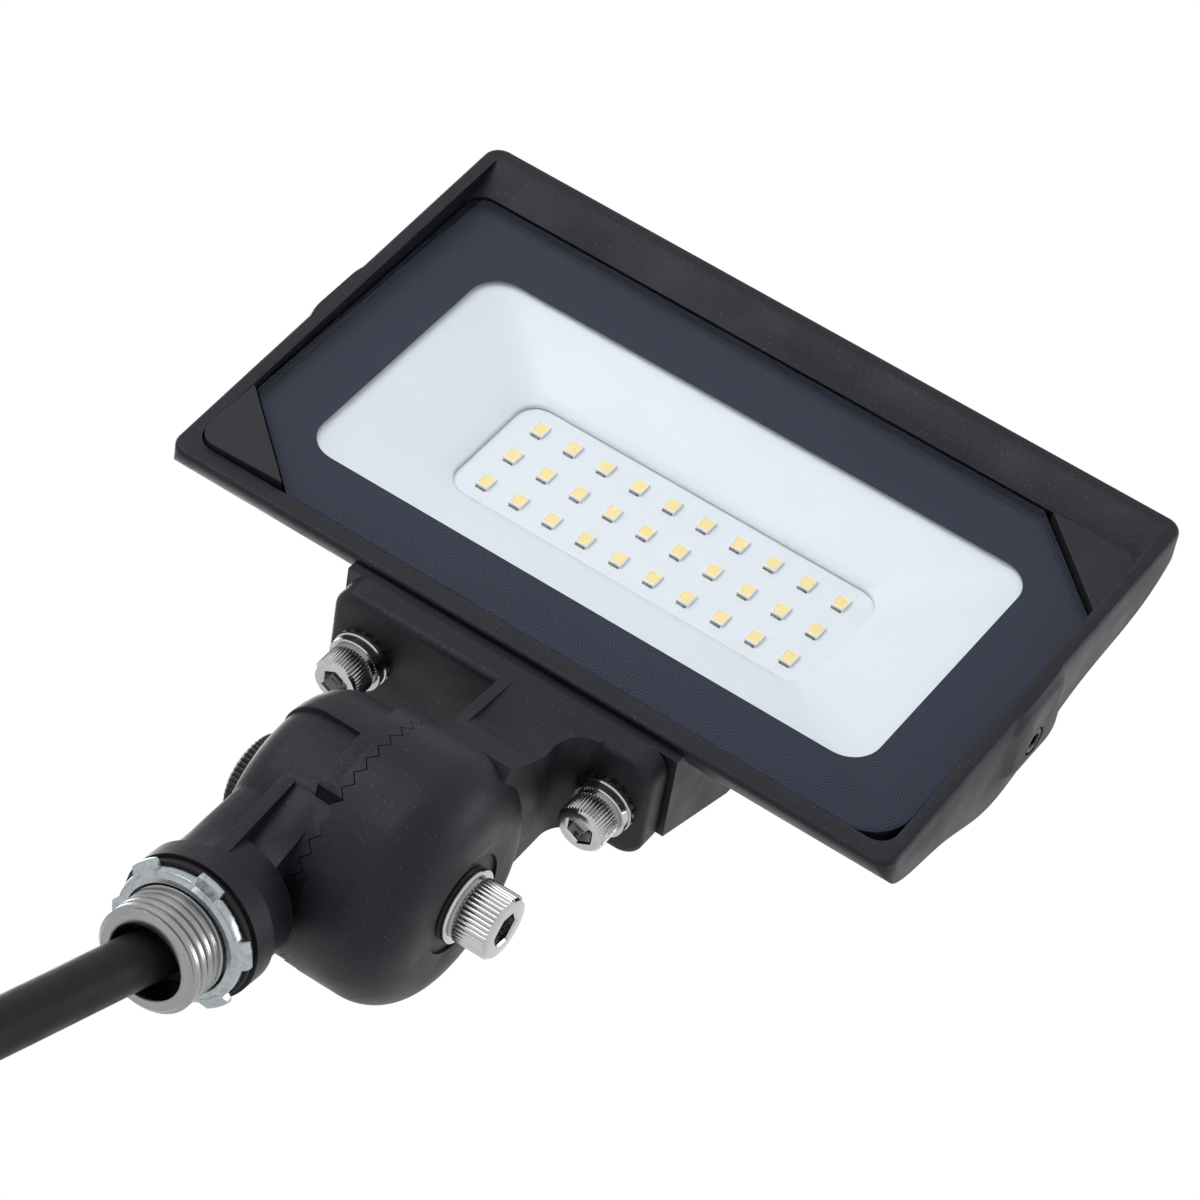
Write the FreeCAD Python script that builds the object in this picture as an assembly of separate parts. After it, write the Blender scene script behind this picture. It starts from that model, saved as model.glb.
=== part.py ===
import FreeCAD, Part
import math
import os

# Lengths are in millimetres. The nipple points down along -Z and the lamp shines along -Y.
# The lamp head is drawn in its own frame, with the glass's front face at y = 0 and its centre
# at the origin, and is then carried to its place on the tilt axis.
V = FreeCAD.Vector
X_AXIS = V(1, 0, 0)
Y_AXIS = V(0, 1, 0)
Z_AXIS = V(0, 0, 1)
os.makedirs("parts", exist_ok=True)

# Clearances
SEAT_GAP = 0.05
RUN_GAP = 0.3
SLIP = 0.1
OVERCUT = 1.0

# Lens and its bed
GLASS_W = 154.0
GLASS_H = 92.0
GLASS_T = 4.0
GLASS_GAP = 0.5
GLASS_CUT_X = 21.1
GLASS_CUT_Z = 19.0
GLASS_R_TOP = 4.0
GLASS_R_LOW = 9.0
GASKET_T = 1.0
GASKET_BAND = 5.0
GASKET_INSET = 1.2
BORDER_X = 14.0
BORDER_Z = 14.8

# Corner blocks
BLOCK_GAP = 0.75
BLOCK_EDGE_GAP = 0.25
BLOCK_TAPER = 0.8
BLOCK_R = 4.0
BLOCK_PROUD = 1.5

# Housing
SIDE_WALL = 3.0
BED_WALL = 1.2
WELL_WALL = 1.6
FLOOR_T = 4.2
LOWER_LIP = 4.0
VISOR_RISE = 9.8
VISOR_WALL = 3.4
VISOR_REACH = 4.5
VISOR_EDGE_T = 3.0
RIM_PROUD = 0.2
LIP_T = 1.1
CORNER_R = 3.6
RIM_R = 0.9
SIDE_DEPTH = 19.5
BODY_DEPTH = 32.0
SHOULDER = 13.0
BELLY_Z = -9.0
BELLY_FULLNESS = 0.5
BROW_FULLNESS = 0.36
FIN_COUNT = 13
FIN_PITCH = 9.0
FIN_T = 2.2
FIN_H = 6.0
FIN_LOW_Z = -40.0
FIN_TOP_Z = 46.0
BOSS_DROP = 2.1
BOSS_FRONT = 1.6
BOSS_HALF = 36.8
BOSS_SEAT_BACK = 22.0
BOSS_BACK = 31.0
BOSS_SLOPE_RISE = 24.0
PAD_Y = 7.0
PAD_Z = 3.0
PAD_HALF_Y = 7.5
PAD_HALF_Z = 8.0
PAD_R = 3.0
PAD_SLOPE = 2.2
PAD_PROUD = 1.1
PLUG_Y = 10.2
PLUG_Z = 2.6
PLUG_R = 3.0
PLUG_LEN = 7.0
PLUG_SOCKET = 3.0

# Light engine
LED_COLS = 10
LED_ROWS = 3
LED_PITCH_X = 7.73
LED_PITCH_Z = 9.22
LED_W = 2.8
LED_H = 3.5
LED_T = 0.7
LED_MARGIN_X = 6.2
LED_MARGIN_Z = 5.6
TRAY_LAP = 1.4
TRAY_R = 8.0
TRAY_OPENING_R = 5.0
TRAY_WALL = 1.2
TRAY_RIM = 3.4
TRAY_DEPTH = 7.3
BOARD_T = 1.6
BOARD_MARGIN_X = 15.0
BOARD_MARGIN_Z = 10.0
BOARD_R = 4.0
BOARD_GAP = 0.3
BOARD_SCREW_R = 1.5
BOARD_SCREW_HEAD_R = 2.7
BOARD_SCREW_HEAD_T = 1.2
BOARD_SCREW_LEN = 4.0
BOARD_SCREW_INSET = 5.0
CHIP_T = 1.4
CHIP_HALF_X = 3.0
CHIP_HALF_Z = 2.2
CHIP_COUNT = 4
CHIP_PITCH = 16.0

# Arm
FLANGE_GASKET_T = 0.5
FLANGE_HALF = 35.5
FLANGE_FRONT = 0.5
FLANGE_DEPTH = 24.8
FLANGE_T = 5.6
FLANGE_R = 5.0
FLANGE_EDGE_R = 1.5
FLANGE_SCREW_X = 27.4
FLANGE_SCREW_Y = 13.8
NECK_LEN = 37.3
NECK_LEFT = 2.0
NECK_RIGHT = 18.0
NECK_FILLET = 6.0
NECK_STRAIGHT = 9.0
NECK_FLARE_ANGLE = 50.0
NECK_FLARE = 1.6
RIB_LEFT = 1.0
RIB_T = 2.2
RIB_REACH = 2.2
RIB_DROP = 17.0
PIVOT_BACK = 13.2
BARREL_R = 25.4
BARREL_END = 21.5
BARREL_DOME_R = 11.0
SPOTFACE_R = 10.3
SPOTFACE_DEPTH = 0.6

# Toothed joint
TOOTH_COUNT = 44
TOOTH_DEPTH = 1.6
TOOTH_GAP = 0.25
TOOTH_INSET = 0.1
TOOTH_R_IN = 17.0
HUB_RECESS = 2.0
ARM_RING_T = 4.0
REST_TILT = 10.2
TOOTH_X = 9.2

# Base
PIVOT_H = 41.0
BASE_RING_T = 4.8
DRUM_R = 22.2
DRUM_TOP_R = 23.2
DRUM_STEP_DROP = 1.0
DRUM_END = 21.2
DRUM_DOME_R = 8.0
LEDGE_DROP = 15.0
WEB_TOP_HALF = 17.5
WEB_LOW_HALF = 10.8
RIB_X = -2.4
BASE_RIB_T = 2.6
BASE_RIB_TOP_HALF = 18.5
BASE_RIB_LOW_HALF = 12.4
SKIRT_TOP_HALF = 16.0
SKIRT_LOW_HALF = 11.0
SKIRT_R = 6.0
SKIRT_INSET = 1.2
BASE_NECK_R = 13.0
BASE_NECK_H = 7.5
COLLAR_R = 14.3
COLLAR_H = 4.9

# Nipple, locknut and seals
NIPPLE_R = 10.45
NIPPLE_SHANK_R = 10.2
NIPPLE_BORE_R = 7.4
NIPPLE_FREE = 8.0
NIPPLE_LEAD = 0.9
SEAL_RING_T = 1.5
SEAL_RING_R = 13.6
LOCKNUT_T = 3.0
LOCKNUT_R = 13.2
LUG_COUNT = 6
LUG_PHASE = -16.0
LUG_R = 14.6
LUG_W = 5.0
LUG_T = 2.0
BUSH_TOP = 6.0
BUSH_LOW = -2.0

# Fasteners
M6_R = 3.0
M6_HEAD_R = 5.0
M6_HEAD_H = 6.0
M6_SOCKET = 5.0
M6_SOCKET_DEPTH = 3.0
M6_GRIP = 9.0
FLAT_WASHER_R = 6.0
FLAT_WASHER_T = 1.6
SPRING_WASHER_R = 5.8
SPRING_WASHER_T = 1.8
SPRING_SPLIT = 0.8
M8_R = 4.0
M8_HEAD_R = 6.5
M8_HEAD_H = 8.0
M8_SOCKET = 6.0
M8_SOCKET_DEPTH = 4.0
M8_HOLE_R = 4.4
M8_WASHER_R = 7.6
M8_WASHER_T = 1.8
CAP_R = 8.6
CAP_H = 5.2
CAP_WALL = 1.5

# Supply cord, from inside the rubber bush to its free end
CORD_R = 5.0
BEND_SHARE = 0.45
CORD_ROUTE = [
    V(1.6, 0, 6),
    V(-5.6, 0, -30),
    V(-13.2, -0.5, -67),
    V(-19.6, -1.6, -105),
    V(-23.4, -2.7, -144),
    V(-24.8, -3.4, -184),
    V(-24.4, -3.6, -223.5),
]
WIRE_R = 1.2
WIRE_COUNT = 3
WIRE_OFFSET = 2.4
WIRE_RUN = 19.0
WIRE_SPREAD = 3.4

# Worked out from the sizes above
HALF_W = GLASS_W / 2 + GLASS_GAP + SIDE_WALL
BOTTOM = GLASS_H / 2 + GLASS_GAP + LOWER_LIP
TOP = GLASS_H / 2 + GLASS_GAP + VISOR_RISE
LEDGE_Y = GLASS_T + GASKET_T
TRAY_FRONT = GLASS_T + BOARD_GAP
TRAY_BACK = TRAY_FRONT + TRAY_WALL + TRAY_DEPTH
BOARD_FRONT = TRAY_BACK + BOARD_GAP
FLOOR_Y = BOARD_FRONT + BOARD_T
TRAY_HALF_X = GLASS_W / 2 - BORDER_X + TRAY_LAP
TRAY_HALF_Z = GLASS_H / 2 - BORDER_Z + TRAY_LAP
OPENING_HALF_X = (LED_COLS - 1) * LED_PITCH_X / 2 + LED_MARGIN_X
OPENING_HALF_Z = (LED_ROWS - 1) * LED_PITCH_Z / 2 + LED_MARGIN_Z
BOARD_HALF_X = OPENING_HALF_X + BOARD_MARGIN_X
BOARD_HALF_Z = OPENING_HALF_Z + BOARD_MARGIN_Z
BOSS_Z = -BOTTOM - BOSS_DROP
FLANGE_TOP = BOSS_Z - FLANGE_GASKET_T
FLANGE_LOW = FLANGE_TOP - FLANGE_T
FLANGE_BACK = FLANGE_FRONT + FLANGE_DEPTH
PIVOT_DROP = NECK_LEN - FLANGE_LOW
BARREL_SEAT = BARREL_END - SPOTFACE_DEPTH
TOOTH_R = BARREL_R - TOOTH_INSET
COLLAR_Z = SEAL_RING_T + LOCKNUT_T + 3 * SEAT_GAP
PIVOT_Z = COLLAR_Z + PIVOT_H


def box(x0, x1, y0, y1, z0, z1):
    """Block between two corners."""
    return Part.makeBox(x1 - x0, y1 - y0, z1 - z0, V(x0, y0, z0))


def rod(r, start, end):
    """Cylinder from one point to another."""
    axis = end - start
    return Part.makeCylinder(r, axis.Length, start, axis)


def washer(r_in, r_out, start, end):
    """Ring from one point of its axis to another."""
    return rod(r_out, start, end).cut(rod(r_in, start, end))


def prism(points, along):
    """Polygon through the points, pulled along a vector."""
    return Part.Face(Part.makePolygon(points + points[:1])).extrude(along)


def hexagon(across, start, along):
    """Six-sided prism with flats the given distance apart."""
    side = along.cross(Y_AXIS)
    side.normalize()
    other = along.cross(side)
    other.normalize()
    r = across / math.sqrt(3)
    points = []
    for k in range(6):
        a = k * math.pi / 3
        points.append(start + side * (r * math.cos(a)) + other * (r * math.sin(a)))
    return prism(points, along)


def rounded_wire(centre, u, v, half_u, half_v, r):
    """Rectangle with round corners about a centre, its sides along u and v."""
    corners = []
    for i in range(4):
        side_u = (1, -1, -1, 1)[i]
        side_v = (1, 1, -1, -1)[i]
        mid = centre + u * (side_u * (half_u - r)) + v * (side_v * (half_v - r))
        arc = []
        for k in range(3):
            a = i * math.pi / 2 + k * math.pi / 4
            arc.append(mid + u * (r * math.cos(a)) + v * (r * math.sin(a)))
        corners.append(arc)
    edges = []
    for i in range(4):
        edges.append(Part.Arc(*corners[i]).toShape())
        edges.append(Part.makeLine(corners[i][2], corners[(i + 1) % 4][0]))
    return Part.Wire(edges)


def rounded_block(centre, u, v, half_u, half_v, r, along):
    """Rounded rectangle pulled along a vector."""
    return Part.Face(rounded_wire(centre, u, v, half_u, half_v, r)).extrude(along)


def front_block(half_x, half_z, r, y0, y1):
    """Rounded rectangle seen from the front, between two depths."""
    return rounded_block(V(0, y0, 0), X_AXIS, Z_AXIS, half_x, half_z, r, V(0, y1 - y0, 0))


def taper(front, back):
    """Straight-walled loft between two front-view rounded rectangles (half x, half z, r, y)."""
    wires = []
    for half_x, half_z, r, y in (front, back):
        wires.append(rounded_wire(V(0, y, 0), X_AXIS, Z_AXIS, half_x, half_z, r))
    return Part.makeLoft(wires, True, True)


def revolve(edges, y, z):
    """Turns a closed outline of edges in the plane of y about a line along X."""
    face = Part.Face(Part.Wire(edges))
    return face.revolve(V(0, y, z), X_AXIS, 360)


def to_row(shape):
    """Carries a shape from the lamp's frame to its place on the tilt axis."""
    moved = shape.copy()
    moved.translate(V(TOOTH_X, -PIVOT_BACK, PIVOT_Z + PIVOT_DROP))
    moved.rotate(V(0, 0, PIVOT_Z), X_AXIS, REST_TILT)
    return moved


def front_y(z):
    """Depth of the housing's front plane at a height."""
    return -RIM_PROUD - (VISOR_REACH - RIM_PROUD) * (z + BOTTOM) / (TOP + BOTTOM)


def side_profile(x, depth):
    """Section of the housing across X: a smooth curve behind, with spare stock at the top, front and foot."""
    bed_z = GLASS_H / 2 + GLASS_GAP + BED_WALL
    heel = V(x, LEDGE_Y + BED_WALL, -bed_z)
    brow = V(x, LEDGE_Y + BED_WALL, bed_z)
    low = V(x, LIP_T, -BOTTOM)
    belly = V(x, depth, BELLY_Z)
    high = V(x, VISOR_EDGE_T - VISOR_REACH, TOP)
    under = V(x, heel.y + BELLY_FULLNESS * (depth - heel.y), (heel.z + belly.z) / 2)
    over = V(x, brow.y + BROW_FULLNESS * (depth - brow.y), (brow.z + belly.z) / 2)
    curve = Part.BSplineCurve()
    curve.interpolate([low, heel, under, belly, over, brow, high])
    front = -VISOR_REACH - OVERCUT
    stock = [high, V(x, high.y, TOP + OVERCUT), V(x, front, TOP + OVERCUT)]
    stock += [V(x, front, -BOTTOM - OVERCUT), V(x, low.y, -BOTTOM - OVERCUT), low]
    return Part.Wire([curve.toShape(), Part.makePolygon(stock)])


def front_waste():
    """All that lies before the housing's sloping front plane."""
    half = HALF_W + PAD_PROUD + OVERCUT
    far = -VISOR_REACH - 2 * OVERCUT
    low = -BOTTOM - 2 * OVERCUT
    high = TOP + 2 * OVERCUT
    outline = [V(-half, far, low), V(-half, front_y(low), low)]
    outline += [V(-half, front_y(high), high), V(-half, far, high)]
    return prism(outline, V(2 * half, 0, 0))


def shell_body():
    """The housing's outer form: a lofted back within a block with round corners and a rounded front edge."""
    spread = (BODY_DEPTH - SIDE_DEPTH) / SHOULDER
    outer = HALF_W + OVERCUT
    edge_depth = SIDE_DEPTH - spread * OVERCUT
    inner = HALF_W - SHOULDER
    sections = []
    for x, depth in ((-outer, edge_depth), (-inner, BODY_DEPTH), (inner, BODY_DEPTH), (outer, edge_depth)):
        sections.append(side_profile(x, depth))
    back = Part.makeLoft(sections, True, True)
    centre = V(0, -VISOR_REACH - OVERCUT, (TOP - BOTTOM) / 2)
    reach = V(0, VISOR_REACH + BODY_DEPTH + 2 * OVERCUT, 0)
    block = rounded_block(centre, X_AXIS, Z_AXIS, HALF_W, (TOP + BOTTOM) / 2, CORNER_R, reach)
    block = block.cut(front_waste())
    front = [e for e in block.Edges if all(abs(v.Y - front_y(v.Z)) < SEAT_GAP for v in e.Vertexes)]
    return block.makeFillet(RIM_R, front).common(back)


def fins():
    """Cooling fins: crescents that stand out of the back."""
    low = V(0, LIP_T + RIM_R, FIN_LOW_Z)
    high = V(0, 0, FIN_TOP_Z)
    crest = V(0, BODY_DEPTH + FIN_H, BELLY_Z + FIN_H)
    edges = [Part.Arc(low, crest, high).toShape(), Part.makeLine(high, low)]
    face = Part.Face(Part.Wire(edges))
    shapes = []
    for i in range(FIN_COUNT):
        x = (i - (FIN_COUNT - 1) / 2) * FIN_PITCH - FIN_T / 2
        fin = face.copy()
        fin.translate(V(x, 0, 0))
        shapes.append(fin.extrude(V(FIN_T, 0, 0)))
    return shapes


def side_pad(side):
    """Low mound round a side hole: it rises over PAD_SLOPE and ends flush with the housing's front."""
    root_x = HALF_W - SIDE_WALL / 2
    spread = PAD_SLOPE * (SIDE_WALL / 2 + PAD_PROUD) / PAD_PROUD
    wires = []
    for x, more in ((root_x, spread), (HALF_W + PAD_PROUD, 0)):
        centre = V(side * x, PAD_Y, PAD_Z)
        wires.append(rounded_wire(centre, Y_AXIS, Z_AXIS, PAD_HALF_Y + more, PAD_HALF_Z + more, PAD_R + more))
    mound = Part.makeLoft(wires, True, True)
    bounds = Part.Face(side_profile(side * root_x, SIDE_DEPTH)).extrude(V(side * SIDE_WALL, 0, 0))
    return mound.common(bounds).cut(front_waste())


def well_form(wall, floor):
    """The well that holds tray and board, or, with a wall and a floor added, the metal round it."""
    rim_x = TRAY_HALF_X + 2 * TRAY_WALL + wall
    rim_z = TRAY_HALF_Z + 2 * TRAY_WALL + wall
    foot_x = BOARD_HALF_X + GLASS_GAP + wall
    foot_z = BOARD_HALF_Z + GLASS_GAP + wall
    rim = (rim_x, rim_z, TRAY_R + wall, TRAY_FRONT + TRAY_WALL - SLIP)
    return taper(rim, (foot_x, foot_z, TRAY_OPENING_R + wall, FLOOR_Y + floor))


def make_housing():
    body = shell_body()
    boss = prism(
        [
            V(-BOSS_HALF, BOSS_FRONT, BOSS_Z),
            V(-BOSS_HALF, BOSS_SEAT_BACK, BOSS_Z),
            V(-BOSS_HALF, BOSS_BACK, BOSS_Z + BOSS_SLOPE_RISE),
            V(-BOSS_HALF, BOSS_BACK, BELLY_Z),
            V(-BOSS_HALF, BOSS_FRONT, BELLY_Z),
        ],
        V(2 * BOSS_HALF, 0, 0),
    )
    body = body.multiFuse([boss, well_form(WELL_WALL, FLOOR_T), side_pad(-1), side_pad(1)] + fins())
    bed_x = GLASS_W / 2 + GLASS_GAP
    bed_z = GLASS_H / 2 + GLASS_GAP
    bed = front_block(bed_x, bed_z, GLASS_R_TOP, -VISOR_REACH - OVERCUT, LEDGE_Y)
    slope_y = front_y(TOP)
    slope = prism(
        [
            V(-bed_x, 0, bed_z - GLASS_R_TOP),
            V(-bed_x, 0, bed_z),
            V(-bed_x, slope_y, TOP - VISOR_WALL),
            V(-bed_x, slope_y - OVERCUT, TOP - VISOR_WALL),
            V(-bed_x, slope_y - OVERCUT, bed_z - GLASS_R_TOP),
        ],
        V(2 * bed_x, 0, 0),
    )
    shelf_x = TRAY_HALF_X + TRAY_RIM + GLASS_GAP
    shelf_z = TRAY_HALF_Z + TRAY_RIM + GLASS_GAP
    shelf = front_block(shelf_x, shelf_z, TRAY_R, GLASS_T, TRAY_FRONT + TRAY_WALL)
    body = body.cut([bed, slope, shelf, well_form(0, 0)])
    holes = []
    for x in (-FLANGE_SCREW_X, FLANGE_SCREW_X):
        top = V(x, FLANGE_SCREW_Y, BOSS_Z + M6_GRIP + OVERCUT)
        holes.append(rod(M6_R + SLIP, V(x, FLANGE_SCREW_Y, BOSS_Z - OVERCUT), top))
    for side in (-1, 1):
        outer = side * (HALF_W + PAD_PROUD + OVERCUT)
        inner = side * (HALF_W + PAD_PROUD - PLUG_LEN)
        holes.append(rod(PLUG_R + SLIP, V(inner, PLUG_Y, PLUG_Z), V(outer, PLUG_Y, PLUG_Z)))
    for x, z in board_screw_places():
        back = V(x, BOARD_FRONT + BOARD_SCREW_LEN + OVERCUT, z)
        holes.append(rod(BOARD_SCREW_R + SLIP, V(x, FLOOR_Y - OVERCUT, z), back))
    return to_row(body.cut(holes).removeSplitter())


def glass_outline(inset, y0, y1):
    """Lens outline, with two cut corners and two round ones, drawn in by an inset."""
    half_x = GLASS_W / 2 - inset
    half_z = GLASS_H / 2 - inset
    cut_x = GLASS_CUT_X - inset
    cut_z = GLASS_CUT_Z - inset
    points = [
        V(-half_x, y0, half_z),
        V(-half_x, y0, cut_z - half_z),
        V(cut_x - half_x, y0, -half_z),
        V(half_x, y0, -half_z),
        V(half_x, y0, half_z - cut_z),
        V(half_x - cut_x, y0, half_z),
    ]
    plate = prism(points, V(0, y1 - y0, 0))
    for x, z, r in ((-half_x, half_z, GLASS_R_TOP), (half_x, -half_z, GLASS_R_LOW)):
        corner = [e for e in plate.Edges if abs(e.CenterOfMass.x - x) + abs(e.CenterOfMass.z - z) < SLIP]
        plate = plate.makeFillet(r - inset, corner)
    return plate


def make_lens_glass():
    return to_row(glass_outline(0, 0, GLASS_T))


def make_lens_gasket():
    ring = glass_outline(GASKET_INSET, GLASS_T, LEDGE_Y)
    hole_x = GLASS_W / 2 - GASKET_INSET - GASKET_BAND
    hole_z = GLASS_H / 2 - GASKET_INSET - GASKET_BAND
    cut = glass_outline(GASKET_INSET + GASKET_BAND / 2, GLASS_T - OVERCUT, LEDGE_Y + OVERCUT)
    hole = front_block(hole_x, hole_z, TRAY_R, GLASS_T - OVERCUT, LEDGE_Y + OVERCUT)
    return to_row(ring.cut(hole.common(cut)))


def corner_block(side):
    """Block in a cut corner of the glass: side 1 at the upper right, -1 at the lower left."""
    out_x = GLASS_W / 2 + BLOCK_EDGE_GAP
    out_z = GLASS_H / 2 + BLOCK_EDGE_GAP
    slope = GLASS_CUT_Z / GLASS_CUT_X
    step = BLOCK_GAP * math.sqrt(1 + slope * slope)
    line = GLASS_H / 2 + slope * (GLASS_W / 2 - GLASS_CUT_X) + step
    tip_z = out_z - BLOCK_TAPER
    points = [
        V(side * (line - tip_z) / slope, LEDGE_Y, side * tip_z),
        V(side * out_x, LEDGE_Y, side * (line - slope * out_x)),
        V(side * out_x, LEDGE_Y, side * out_z),
    ]
    block = prism(points, V(0, -LEDGE_Y - BLOCK_PROUD, 0))
    corner = [e for e in block.Edges if abs(e.CenterOfMass.z - side * out_z) < SLIP]
    return to_row(block.makeFillet(BLOCK_R, corner))


def make_corner_block_left():
    return corner_block(-1)


def make_corner_block_right():
    return corner_block(1)


def make_reflector():
    back_y = TRAY_FRONT + TRAY_WALL
    rim = front_block(TRAY_HALF_X + TRAY_RIM, TRAY_HALF_Z + TRAY_RIM, TRAY_R, TRAY_FRONT, back_y)
    outer = taper(
        (TRAY_HALF_X + TRAY_WALL, TRAY_HALF_Z + TRAY_WALL, TRAY_R, back_y - TRAY_WALL / 2),
        (OPENING_HALF_X + TRAY_WALL, OPENING_HALF_Z + TRAY_WALL, TRAY_OPENING_R + TRAY_WALL, TRAY_BACK),
    )
    inner = taper(
        (TRAY_HALF_X, TRAY_HALF_Z, TRAY_R - TRAY_WALL, TRAY_FRONT),
        (OPENING_HALF_X, OPENING_HALF_Z, TRAY_OPENING_R, TRAY_BACK),
    )
    return to_row(rim.fuse(outer).cut(inner))


def board_screw_places():
    """Board screw centres, one near each corner."""
    places = []
    for sx in (-1, 1):
        for sz in (-1, 1):
            x = sx * (BOARD_HALF_X - BOARD_SCREW_INSET)
            places.append((x, sz * (BOARD_HALF_Z - BOARD_SCREW_INSET)))
    return places


def make_led_board():
    board = front_block(BOARD_HALF_X, BOARD_HALF_Z, BOARD_R, BOARD_FRONT, FLOOR_Y)
    holes = []
    for x, z in board_screw_places():
        holes.append(rod(BOARD_SCREW_R + SLIP, V(x, BOARD_FRONT - OVERCUT, z), V(x, FLOOR_Y + OVERCUT, z)))
    return to_row(board.cut(holes))


def make_led_packages():
    packages = []
    for i in range(LED_COLS):
        for k in range(LED_ROWS):
            x = (i - (LED_COLS - 1) / 2) * LED_PITCH_X - LED_W / 2
            z = (k - (LED_ROWS - 1) / 2) * LED_PITCH_Z - LED_H / 2
            packages.append(box(x, x + LED_W, BOARD_FRONT - LED_T, BOARD_FRONT, z, z + LED_H))
    return to_row(Part.makeCompound(packages))


def make_driver_components():
    front = BOARD_FRONT - CHIP_T
    wall_slope = (TRAY_HALF_Z - OPENING_HALF_Z) / (TRAY_BACK - TRAY_FRONT - TRAY_WALL / 2)
    z = OPENING_HALF_Z + TRAY_WALL + wall_slope * (TRAY_BACK - front) + RUN_GAP
    chips = []
    for i in range(CHIP_COUNT):
        x = (i - (CHIP_COUNT - 1) / 2) * CHIP_PITCH - CHIP_HALF_X
        chips.append(box(x, x + 2 * CHIP_HALF_X, front, BOARD_FRONT, z, z + 2 * CHIP_HALF_Z))
    return to_row(Part.makeCompound(chips))


def make_board_screws():
    screws = []
    for x, z in board_screw_places():
        head = rod(BOARD_SCREW_HEAD_R, V(x, BOARD_FRONT - BOARD_SCREW_HEAD_T, z), V(x, BOARD_FRONT, z))
        shank = rod(BOARD_SCREW_R, V(x, BOARD_FRONT, z), V(x, BOARD_FRONT + BOARD_SCREW_LEN, z))
        screws.append(head.fuse(shank))
    return to_row(Part.makeCompound(screws))


def make_side_plugs():
    plugs = []
    for side in (-1, 1):
        face = side * (HALF_W + PAD_PROUD - SLIP)
        inner = V(face - side * (PLUG_LEN - OVERCUT), PLUG_Y, PLUG_Z)
        plug = rod(PLUG_R, inner, V(face, PLUG_Y, PLUG_Z))
        socket = hexagon(PLUG_SOCKET, V(face, PLUG_Y, PLUG_Z), V(-side * PLUG_R, 0, 0))
        plugs.append(plug.cut(socket))
    return to_row(Part.makeCompound(plugs))


def flange_plate(inset, z0, z1):
    """Arm flange outline between two heights, drawn in by an inset, with its screw holes."""
    centre = V(0, FLANGE_FRONT + FLANGE_DEPTH / 2, z0)
    half_y = FLANGE_DEPTH / 2 - inset
    rise = V(0, 0, z1 - z0)
    plate = rounded_block(centre, X_AXIS, Y_AXIS, FLANGE_HALF - inset, half_y, FLANGE_R - inset, rise)
    holes = []
    for x in (-FLANGE_SCREW_X, FLANGE_SCREW_X):
        low = V(x, FLANGE_SCREW_Y, z0 - OVERCUT)
        holes.append(rod(M6_R + RUN_GAP, low, V(x, FLANGE_SCREW_Y, z1 + OVERCUT)))
    return plate.cut(holes)


def make_flange_gasket():
    return to_row(flange_plate(RUN_GAP * 2, FLANGE_TOP, BOSS_Z))


def tooth_rim(r, offset, base_x):
    """Points round the tilt axis at one radius: on the toothed face, and level with them on the flat."""
    face = []
    flat = []
    for i in range(2 * TOOTH_COUNT):
        a = i * math.pi / TOOTH_COUNT
        rise = TOOTH_DEPTH / 2 * r / TOOTH_R
        y = r * math.sin(a)
        z = PIVOT_Z + r * math.cos(a)
        face.append(V(TOOTH_X + offset + (rise if i % 2 else -rise), y, z))
        flat.append(V(base_x, y, z))
    return face, flat


def tooth_ring(offset, base_x):
    """Ring of face teeth about the tilt axis, from its toothed face to a flat at base_x.

    Crest and root lines all run through one point of the axis, so each flank is a plane and two rings mesh.
    """
    inner, inner_flat = tooth_rim(TOOTH_R_IN, offset, base_x)
    outer, outer_flat = tooth_rim(TOOTH_R, offset, base_x)
    loops = [inner, outer, outer_flat, inner_flat]
    faces = []
    for i in range(2 * TOOTH_COUNT):
        for here, there in zip(loops, loops[1:] + loops[:1]):
            quad = [here[i - 1], there[i - 1], there[i], here[i]]
            faces.append(Part.Face(Part.makePolygon(quad + quad[:1])))
    shell = Part.makeShell(faces)
    shell.sewShape()
    return Part.makeSolid(shell).removeSplitter()


def dome_outline(x0, x1, r, dome_r, y, z):
    """Half outline of a drum from a flat at x0 to a flat at x1 whose rim is rounded by dome_r."""
    way = 1 if x1 > x0 else -1
    rise = V(x1 - way * dome_r, y, z + r)
    seat = V(x1, y, z + r - dome_r)
    turn = dome_r * (1 - math.sqrt(0.5))
    middle = V(x1 - way * turn, y, z + r - turn)
    return [
        Part.makeLine(V(x0, y, z), V(x0, y, z + r)),
        Part.makeLine(V(x0, y, z + r), rise),
        Part.Arc(rise, middle, seat).toShape(),
        Part.makeLine(seat, V(x1, y, z)),
        Part.makeLine(V(x1, y, z), V(x0, y, z)),
    ]


def neck_side(y, z):
    """Neck seen from the side, its front flaring into the barrel."""
    top = FLANGE_LOW + FLANGE_T / 2
    start = V(0, FLANGE_FRONT, FLANGE_LOW - NECK_STRAIGHT)
    a = math.radians(NECK_FLARE_ANGLE)
    end = V(0, y - BARREL_R * math.sin(a), z + BARREL_R * math.cos(a))
    middle = (start + end) * 0.5 + V(0, NECK_FLARE, NECK_FLARE) * math.sqrt(0.5)
    edges = [
        Part.makeLine(V(0, FLANGE_FRONT, top), start),
        Part.Arc(start, middle, end).toShape(),
        Part.makeLine(end, V(0, y, z)),
        Part.makeLine(V(0, y, z), V(0, FLANGE_BACK, z)),
        Part.makeLine(V(0, FLANGE_BACK, z), V(0, FLANGE_BACK, top)),
        Part.makeLine(V(0, FLANGE_BACK, top), V(0, FLANGE_FRONT, top)),
    ]
    return Part.Face(Part.Wire(edges)).extrude(V(FLANGE_HALF, 0, 0))


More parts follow.
